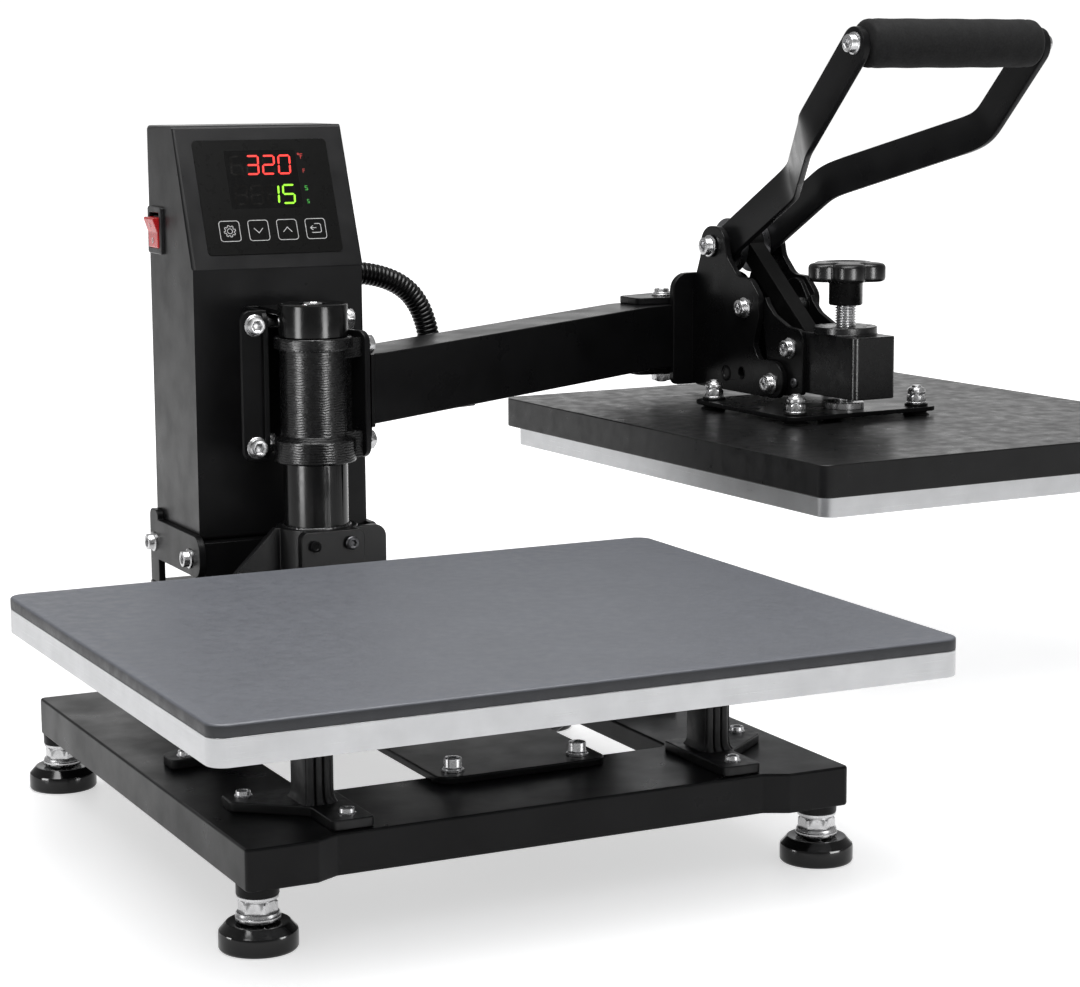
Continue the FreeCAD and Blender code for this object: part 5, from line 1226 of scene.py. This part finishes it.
def makeHose():
    # Radius along the line: root + (crest - root) * sqrt(|sin(pi s / pitch)|), s being the length so far;
    # the line itself is a curve drawn by its control points
    look = hoseLook
    curve = bpy.data.curves.new("hose_line", "CURVE")
    curve.dimensions = "3D"
    curve.resolution_u = 64
    spline = curve.splines.new("NURBS")
    spline.points.add(len(look["control"]) - 1)
    for point, spot in zip(spline.points, look["control"]):
        point.co = (*[c * mm for c in spot], 1)
    spline.order_u = 3
    spline.use_endpoint_u = True
    holder = bpy.data.objects.new("hose_line", curve)
    bpy.context.scene.collection.objects.link(holder)
    bpy.context.view_layer.update()
    traced = bpy.data.meshes.new_from_object(holder)
    line = np.zeros(len(traced.vertices) * 3)
    traced.vertices.foreach_get("co", line)
    line = line.reshape(-1, 3) / mm
    bpy.data.objects.remove(holder)
    bpy.data.meshes.remove(traced)
    gone = np.concatenate([[0], np.cumsum(np.linalg.norm(np.diff(line, axis=0), axis=1))])
    steps = np.linspace(0, gone[-1], int(gone[-1] / look["pitch"] * look["perRib"]))
    centre = np.stack([np.interp(steps, gone, line[:, k]) for k in range(3)], -1)
    way = np.gradient(centre, axis=0)
    way /= np.linalg.norm(way, axis=1)[:, None]
    aside = np.array((0, 1.0, 0))
    over = np.cross(way, aside)
    angle = np.linspace(0, 2 * math.pi, look["around"], endpoint=False)
    bulge = np.sqrt(np.abs(np.sin(math.pi * steps / look["pitch"])))
    radius = look["root"] + (look["crest"] - look["root"]) * bulge
    ring = np.cos(angle)[:, None] * aside + np.sin(angle)[:, None] * over[:, None]
    points = centre[:, None] + radius[:, None, None] * ring
    build = Builder()
    build.grid(points, True, True, True)
    hose = build.make("hose.ribbed", finishes["hose"], None, 70, "hose_black", ("hose",))
    path = centre[::look["pathStep"]]
    if len(centre) % look["pathStep"] != 1:
        path = np.vstack([path, centre[-1:]])
    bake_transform(hose)


makeHose()
print("hose")

# Silicone pad: upright sides with a rounded rim, its top a plane with a faint swell; and the rubber spacers

padLook = {"half": (190, 160), "corner": 9, "low": -6, "round": 1.3, "swell": 0.12}


def makePad():
    # Rings: up the side, round the rim with radius r, then shrinking copies of the outline to the middle;
    # the top's height is swell * sin(x / 31) * sin(y / 27), in millimetres
    look = padLook
    halfX, halfY = look["half"]
    outline = roundedBox(halfX, halfY, look["corner"], steps=10)
    fine = []
    for start, end in zip(outline, np.roll(outline, -1, 0)):
        parts = max(1, int(np.linalg.norm(end - start) / 12))
        fine += [start + (end - start) * k / parts for k in range(parts)]
    outline = np.array(fine)
    rounding, quarter = look["round"], np.linspace(0, math.pi / 2, 6)
    rows = [(drawnIn(outline, 0.3), look["low"]), (outline, look["low"] + 0.3)]
    rows += [(drawnIn(outline, rounding * (1 - math.cos(t))), -rounding * (1 - math.sin(t))) for t in quarter]
    rim = rows[-1][0]
    rows += [(rim * share, 0.0) for share in np.linspace(1, 0.03, 26)[1:]]
    points = np.stack([atLevel(ring, level) for ring, level in rows])
    top = points[2 + len(quarter):]
    top[..., 2] += look["swell"] * np.sin(top[..., 0] / 31) * np.sin(top[..., 1] / 27) - look["swell"]
    build = Builder()
    build.grid(points, True, True, True)
    pad = build.make("silicone_pad.skin", finishes["pad"], "base", 50, "pad_silicone", ("silicone_pad",))


spacerRows = [(8.2, 40), (8.8, 40.2), (8.6, 40.6), (6.9, 41.4), (7.0, 41.8), (8.4, 42.6), (8.6, 43), (4, 43)]


def makeRubberSpacers():
    build = Builder()
    for lateral in (-studLook["side"], studLook["side"]):
        for p in (studLook["front"], studLook["rear"]):
            build.lathe(spacerRows, mechanism(lateral, p, 0), upward, 48)
    build.make("rubber_spacers.flared", finishes["rubber"], "head", 50, "rubber_black", ("rubber_spacers",))


makePad()
makeRubberSpacers()

# Mains switch on the box's left side: rim, and the red rocker with its two marks

switchLook = {"x": 5, "proud": 2.2, "y": 486, "z": 168, "outer": (13.2, 15.4, 2), "inner": (9.9, 11.4, 1),
              "depth": 9, "pivot": 10, "tilt": 10, "half": 9.4, "markFace": (-8.55, 0.163), "mark": (-0.3, 0.12),
              "profile": ((-10.0, 10.4, 1.2), (-8.3, 0, 6), (-10.0, -10.4, 1.2), (-1.5, -9, 1), (1, 0, 2),
                          (-1.5, 9, 1))}


def onRocker(sideways, up, out):
    # Point of the rocker, drawn round its pin, turned by the tilt
    look = switchLook
    turn = math.radians(look["tilt"])
    sideways, up, out = np.broadcast_arrays(np.asarray(sideways, float), up, out)
    return np.stack([look["pivot"] + out * math.cos(turn) - up * math.sin(turn), look["y"] + sideways,
                     look["z"] + out * math.sin(turn) + up * math.cos(turn)], -1)


def makeSwitch():
    look = switchLook
    rim = Builder()
    outer = roundedBox(*look["outer"], (look["y"], look["z"]), 6)
    inner = roundedBox(*look["inner"], (look["y"], look["z"]), 6)
    front = look["x"] - look["proud"]
    rows = [(outer, look["x"]), (outer, front + 0.6), (drawnIn(outer, 0.6), front), (drawnIn(inner, -0.4), front),
            (inner, front + 0.4), (inner, front + look["depth"])]
    points = [alongX(ring[:, 0], ring[:, 1], np.full(len(ring), level)) for ring, level in rows]
    rim.grid(np.stack(points), True, True, True)
    rim.make("rocker_bezel.rim", finishes["switch"], "base", 30, "switch_black", ("rocker_bezel",))
    rocker = Builder()

    def fromSide(out, up, sideways):
        return onRocker(sideways, up, out)

    slab(rocker, softCorners(look["profile"], 6, True), -look["half"], look["half"], fromSide)
    rocker.make("rocker_switch.red", finishes["rocker"], "rocker", 30, "rocker_red", ("rocker_switch",),
                bevel=0.5)
    marks = Builder()

    def face(a, b, c):
        # The rocker's face: out = middle - fall * |b|, less the height c
        middle, fall = look["markFace"]
        return onRocker(a, b, middle - fall * np.abs(b) - c)

    ribbon(marks, [(-0.1, 3.6), (-0.1, 6.8)], 0.6, *look["mark"], face)
    turn = np.linspace(0, 2 * math.pi, 24, endpoint=False)
    ring = np.stack([1.3 * np.cos(turn), -5.2 + 1.6 * np.sin(turn)], -1)
    ribbon(marks, ring, 0.5, *look["mark"], face, True)
    marks.make("rocker_marks", finishes["mark"], "rocker", 30, "rocker_red")


makeSwitch()
print("pad and switch")

# Display: window, lamp segments, unit marks, keys with their signs

screen = {"lift": 0.5, "window": (-25.6, 23.2, 40.2, 79.6), "digitHeight": 13.5, "digitWidth": 8.9,
          "stroke": 1.25, "slant": 0.09, "cells": (-17.9, -7.1, 3.8, 14.65), "rows": (69.6, 49.4),
          "keyX": (-29.4, -9.8, 9.8, 29.4), "keyUp": 25.4, "keyHalf": 6.8, "line": 0.44, "gap": 0.22,
          "units": ((27, 75), (27.3, 65), (27.2, 53.3), (27.2, 44.2))}
segmentsOf = {"0": "abcdef", "1": "bc", "2": "abged", "3": "abgcd", "5": "afgcd"}


def slope(a, b, c):
    return onSlope(np.stack([a, b, c], -1))


def segment(build, name, centre, low, high):
    # One lamp segment: a bar with pointed ends, slanted as the digit is
    w, h, s = (screen[k] for k in ("digitWidth", "digitHeight", "stroke"))
    a, b = w / 2 - s / 2, h / 2 - s / 2
    spots = {"a": (0, b, 0), "g": (0, 0, 0), "d": (0, -b, 0), "b": (a, b / 2, 1), "c": (a, -b / 2, 1),
             "f": (-a, b / 2, 1), "e": (-a, -b / 2, 1)}
    x, y, upright = spots[name]
    reach = (b / 2 if upright else a) - screen["gap"]
    bar = np.array([(-reach, 0), (-reach + s / 2, -s / 2), (reach - s / 2, -s / 2), (reach, 0),
                    (reach - s / 2, s / 2), (-reach + s / 2, s / 2)])
    if upright:
        bar = bar[:, ::-1] * (1, -1)
    bar = bar + (x, y)
    bar[:, 0] += bar[:, 1] * screen["slant"]
    slab(build, bar + centre, low, high, slope)


def makeDisplay():
    lift = screen["lift"]
    x0, x1, t0, t1 = screen["window"]
    window = Builder()
    outline = roundedBox((x1 - x0) / 2, (t1 - t0) / 2, 1.2, ((x0 + x1) / 2, (t0 + t1) / 2))
    slab(window, outline, lift - 0.2, lift + 0.03, slope)
    window.make("display_window", finishes["window"], "base", 30, "overlay_black")
    lampRows = (("red", "320", 1), ("green", "15", 2))
    ghosts = Builder()
    for (finish, text, first), up in zip(lampRows, screen["rows"]):
        lamps = Builder()
        for cell, x in enumerate(screen["cells"]):
            shown = text[cell - first] if first <= cell < first + len(text) else None
            for name in "abcdefg":
                on = shown and name in segmentsOf[shown]
                target = lamps if on else ghosts
                segment(target, name, (x, up), lift, lift + (0.1 if on else 0.06))
        lamps.make("display_" + finish, finishes[finish], "base", 30, "overlay_black")
    ghosts.make("display_ghosts", finishes["ghost"], "base", 30, "overlay_black")
    unitShapes = (([(-0.4, -1.6), (-0.4, 1.6), (1.2, 1.6)], [(-0.4, 0.2), (0.9, 0.2)]),
                  ([(-0.4, -1.2), (-0.4, 1.2), (0.9, 1.2)], [(-0.4, 0.1), (0.7, 0.1)]),
                  ([(1, 1.3), (-0.6, 1.3), (-0.6, 0.1), (0.9, -0.2), (0.9, -1.4), (-0.8, -1.4)],),
                  ([(0.8, 1.1), (-0.5, 1.1), (-0.5, 0.1), (0.7, -0.2), (0.7, -1.2), (-0.7, -1.2)],))
    unitFinishes = ("unitRed", "unitFaint", "unitGreen", "unitDim")
    for spot, finish, strokes in zip(screen["units"], unitFinishes, unitShapes):
        marks = Builder()
        for stroke in strokes:
            ribbon(marks, np.array(stroke) + spot, 0.42, lift, lift + 0.08, slope)
        if strokes is unitShapes[0]:
            turn = np.linspace(0, 2 * math.pi, 14, endpoint=False)
            degree = np.stack([np.cos(turn) * 0.55 - 1.7, np.sin(turn) * 0.55 + 1.6], -1)
            ribbon(marks, degree + spot, 0.35, lift, lift + 0.08, slope, True)
        marks.make("unit_mark", finishes[finish], "base", 30, "overlay_black")


def makeKeys():
    build = Builder()
    low, high, line = screen["lift"], screen["lift"] + 0.07, screen["line"]
    half, up = screen["keyHalf"], screen["keyUp"]
    for x in screen["keyX"]:
        ribbon(build, roundedBox(half, half, 1.9, (x, up), 7), line * 0.9, low, high, slope, True)
    first, second, third, fourth = screen["keyX"]
    turn = np.linspace(0, 2 * math.pi, 97, endpoint=False)
    tooth = np.clip(np.sin(turn * 8) * 3, -1, 1) * 0.45 + 3.45
    gear = np.stack([first + tooth * np.cos(turn), up + tooth * np.sin(turn)], -1)
    ribbon(build, gear, line * 0.85, low, high, slope, True)
    ring = turn[::4]
    hub = np.stack([first + 1.7 * np.cos(ring), up + 1.7 * np.sin(ring)], -1)
    ribbon(build, hub, line * 0.85, low, high, slope, True)
    ribbon(build, [(second - 3, up + 1.5), (second, up - 1.7), (second + 3, up + 1.5)], line, low, high, slope)
    ribbon(build, [(third - 3, up - 1.6), (third, up + 1.6), (third + 3, up - 1.6)], line, low, high, slope)
    arrow = softCorners([(fourth - 3.4, up + 0.6), (fourth + 0.4, up + 0.6)], 2)
    ribbon(build, arrow, line, low, high, slope)
    arrow = [(fourth - 1.9, up + 2.1), (fourth - 3.6, up + 0.6), (fourth - 1.9, up - 0.9)]
    ribbon(build, arrow, line, low, high, slope)
    bracket = softCorners([(fourth - 0.6, up + 3.4), (fourth + 3.6, up + 3.4, 1.2),
                           (fourth + 3.6, up - 2.6, 1.2), (fourth - 3.0, up - 2.6)], 5)
    ribbon(build, bracket, line, low, high, slope)
    build.make("key_signs", finishes["mark"], "base", 30, "overlay_black")


makeDisplay()
makeKeys()
print("display")


# Studio

# Areas are (place, target, size, power, whether they light rough surfaces), strips (place, size, power)
studio = {"floorColor": (0.8, 0.8, 0.805), "floorGlow": (0.58, 0.96), "glowFrom": (0.4, 1.5),
          "glowBand": (0.5, 0.22), "worldBright": 1.04, "worldDim": 0.33, "cone": (0.8, 0.96),
          "behind": (0.44, 0.893, -0.08),
          "areas": {"overhead": ((0.2, 0.3, 2.3), (0.15, 0.15, 0), (2.8, 2.2), 24, True),
                    "pool": ((-0.12, -0.28, 1.2), (0, 0.1, 0), (1.1, 0.9), 6, True),
                    "above": ((-0.1, -0.15, 1.7), (0.1, 0.2, 0), (1.6, 1.2), 58, False)},
          "strips": (((-0.706, 0.122, 0.14), (0.24, 0.5), 8), ((0.348, -0.468, 0.14), (0.24, 0.5), 8)),
          "steelPower": 1.0,
          "steelPieces": ("bolt", "screw", "stud", "nut", "stem"),
          "stripPieces": ("post", "sleeve", "cap", "knob", "press_arm", "weld", "foot")}


def softBox(name, centre, target, size, power, diffuse):
    # Area light that looks at its target, and that no camera sees
    data = bpy.data.lights.new(name, "AREA")
    data.shape = "RECTANGLE"
    data.size, data.size_y = size
    data.energy = power
    light = bpy.data.objects.new(name, data)
    light.location = centre
    light.rotation_euler = (Vector(target) - Vector(centre)).to_track_quat("-Z", "Y").to_euler()
    light.visible_camera = False
    light.visible_diffuse = diffuse
    bpy.context.scene.collection.objects.link(light)
    return light


def makeWorld():
    # A lit backdrop behind the press, and a dimmer room round it; the floor's glow follows it to the back
    world = bpy.data.worlds.new("studio")
    world.use_nodes = True
    tree = world.node_tree
    background = tree.nodes["Background"]
    where = tree.nodes.new("ShaderNodeTexCoord").outputs["Generated"]
    ahead = linked(tree, "ShaderNodeVectorMath", {0: where, 1: studio["behind"]},
                   operation="DOT_PRODUCT").outputs["Value"]
    glow = linked(tree, "ShaderNodeMapRange", {"Value": ahead, "From Min": studio["cone"][0],
                  "From Max": studio["cone"][1], "To Min": studio["worldDim"], "To Max": studio["worldBright"]},
                  interpolation_type="SMOOTHSTEP").outputs[0]
    tree.links.new(glow, background.inputs["Strength"])
    bpy.context.scene.world = world
    background.inputs["Color"].default_value = (1, 1, 1, 1)


def makeStudio():
    # Floor that glows to the back, where it meets the backdrop, and the lights
    f = Finish("studio_floor", studio["floorColor"], 0.45, specular=0.12)
    f.mottle(f.noise(900, 2), 0.995, 1.005)
    f.shader.inputs["Emission Color"].default_value = (1, 1, 1, 1)
    across, far = studio["behind"][:2]
    depth = linked(f.tree, "ShaderNodeVectorMath", {0: f.where, 1: (across, far, 0)},
                   operation="DOT_PRODUCT").outputs["Value"]
    aside = linked(f.tree, "ShaderNodeVectorMath", {0: f.where, 1: (far, -across, 0)},
                   operation="DOT_PRODUCT").outputs["Value"]
    aside = linked(f.tree, "ShaderNodeMath", {0: aside}, operation="ABSOLUTE").outputs[0]
    half, widening = studio["glowBand"]
    reach = linked(f.tree, "ShaderNodeMath", {0: depth, 1: widening, 2: half},
                   operation="MULTIPLY_ADD").outputs[0]
    share = linked(f.tree, "ShaderNodeMath", {0: aside, 1: reach}, operation="DIVIDE").outputs[0]
    inside = f.spread(share, 1, 0, 1, 1.8)
    back = f.spread(depth, 0, 1, *studio["glowFrom"])
    bright = linked(f.tree, "ShaderNodeMath", {0: inside, 1: back}, operation="MULTIPLY").outputs[0]
    f.tree.links.new(f.spread(bright, *studio["floorGlow"]), f.shader.inputs["Emission Strength"])
    floor = Builder()
    reach = np.linspace(-9000, 9000, 9)
    x, y = np.meshgrid(reach, reach, indexing="ij")
    floor.grid(np.stack([x, y, np.full_like(x, place["floor"] - 0.05)], -1), around=False)
    floor.make("floor", f.material, None)
    makeWorld()
    for name, values in studio["areas"].items():
        softBox(name, *values)
    # The strips beside the post light only pieces by name: steel ones weakly, the black ones in full
    litBy = {kind: bpy.data.collections.new(kind + "_pieces") for kind in ("steel", "strip")}
    for piece in bpy.data.objects:
        for kind, pieces in litBy.items():
            if piece.type == "MESH" and any(word in piece.name for word in studio[kind + "Pieces"]):
                pieces.objects.link(piece)
                break
    for centre, size, power in studio["strips"]:
        target = (place["postX"] * mm, place["postY"] * mm, centre[2])
        for kind, share in (("steel", studio["steelPower"] / power), ("strip", 1)):
            light = softBox(kind + "_light", centre, target, size, power * share, False)
            light.light_linking.receiver_collection = litBy[kind]
    bpy.context.scene.view_settings.view_transform = "Standard"


makeStudio()
print("studio lit")
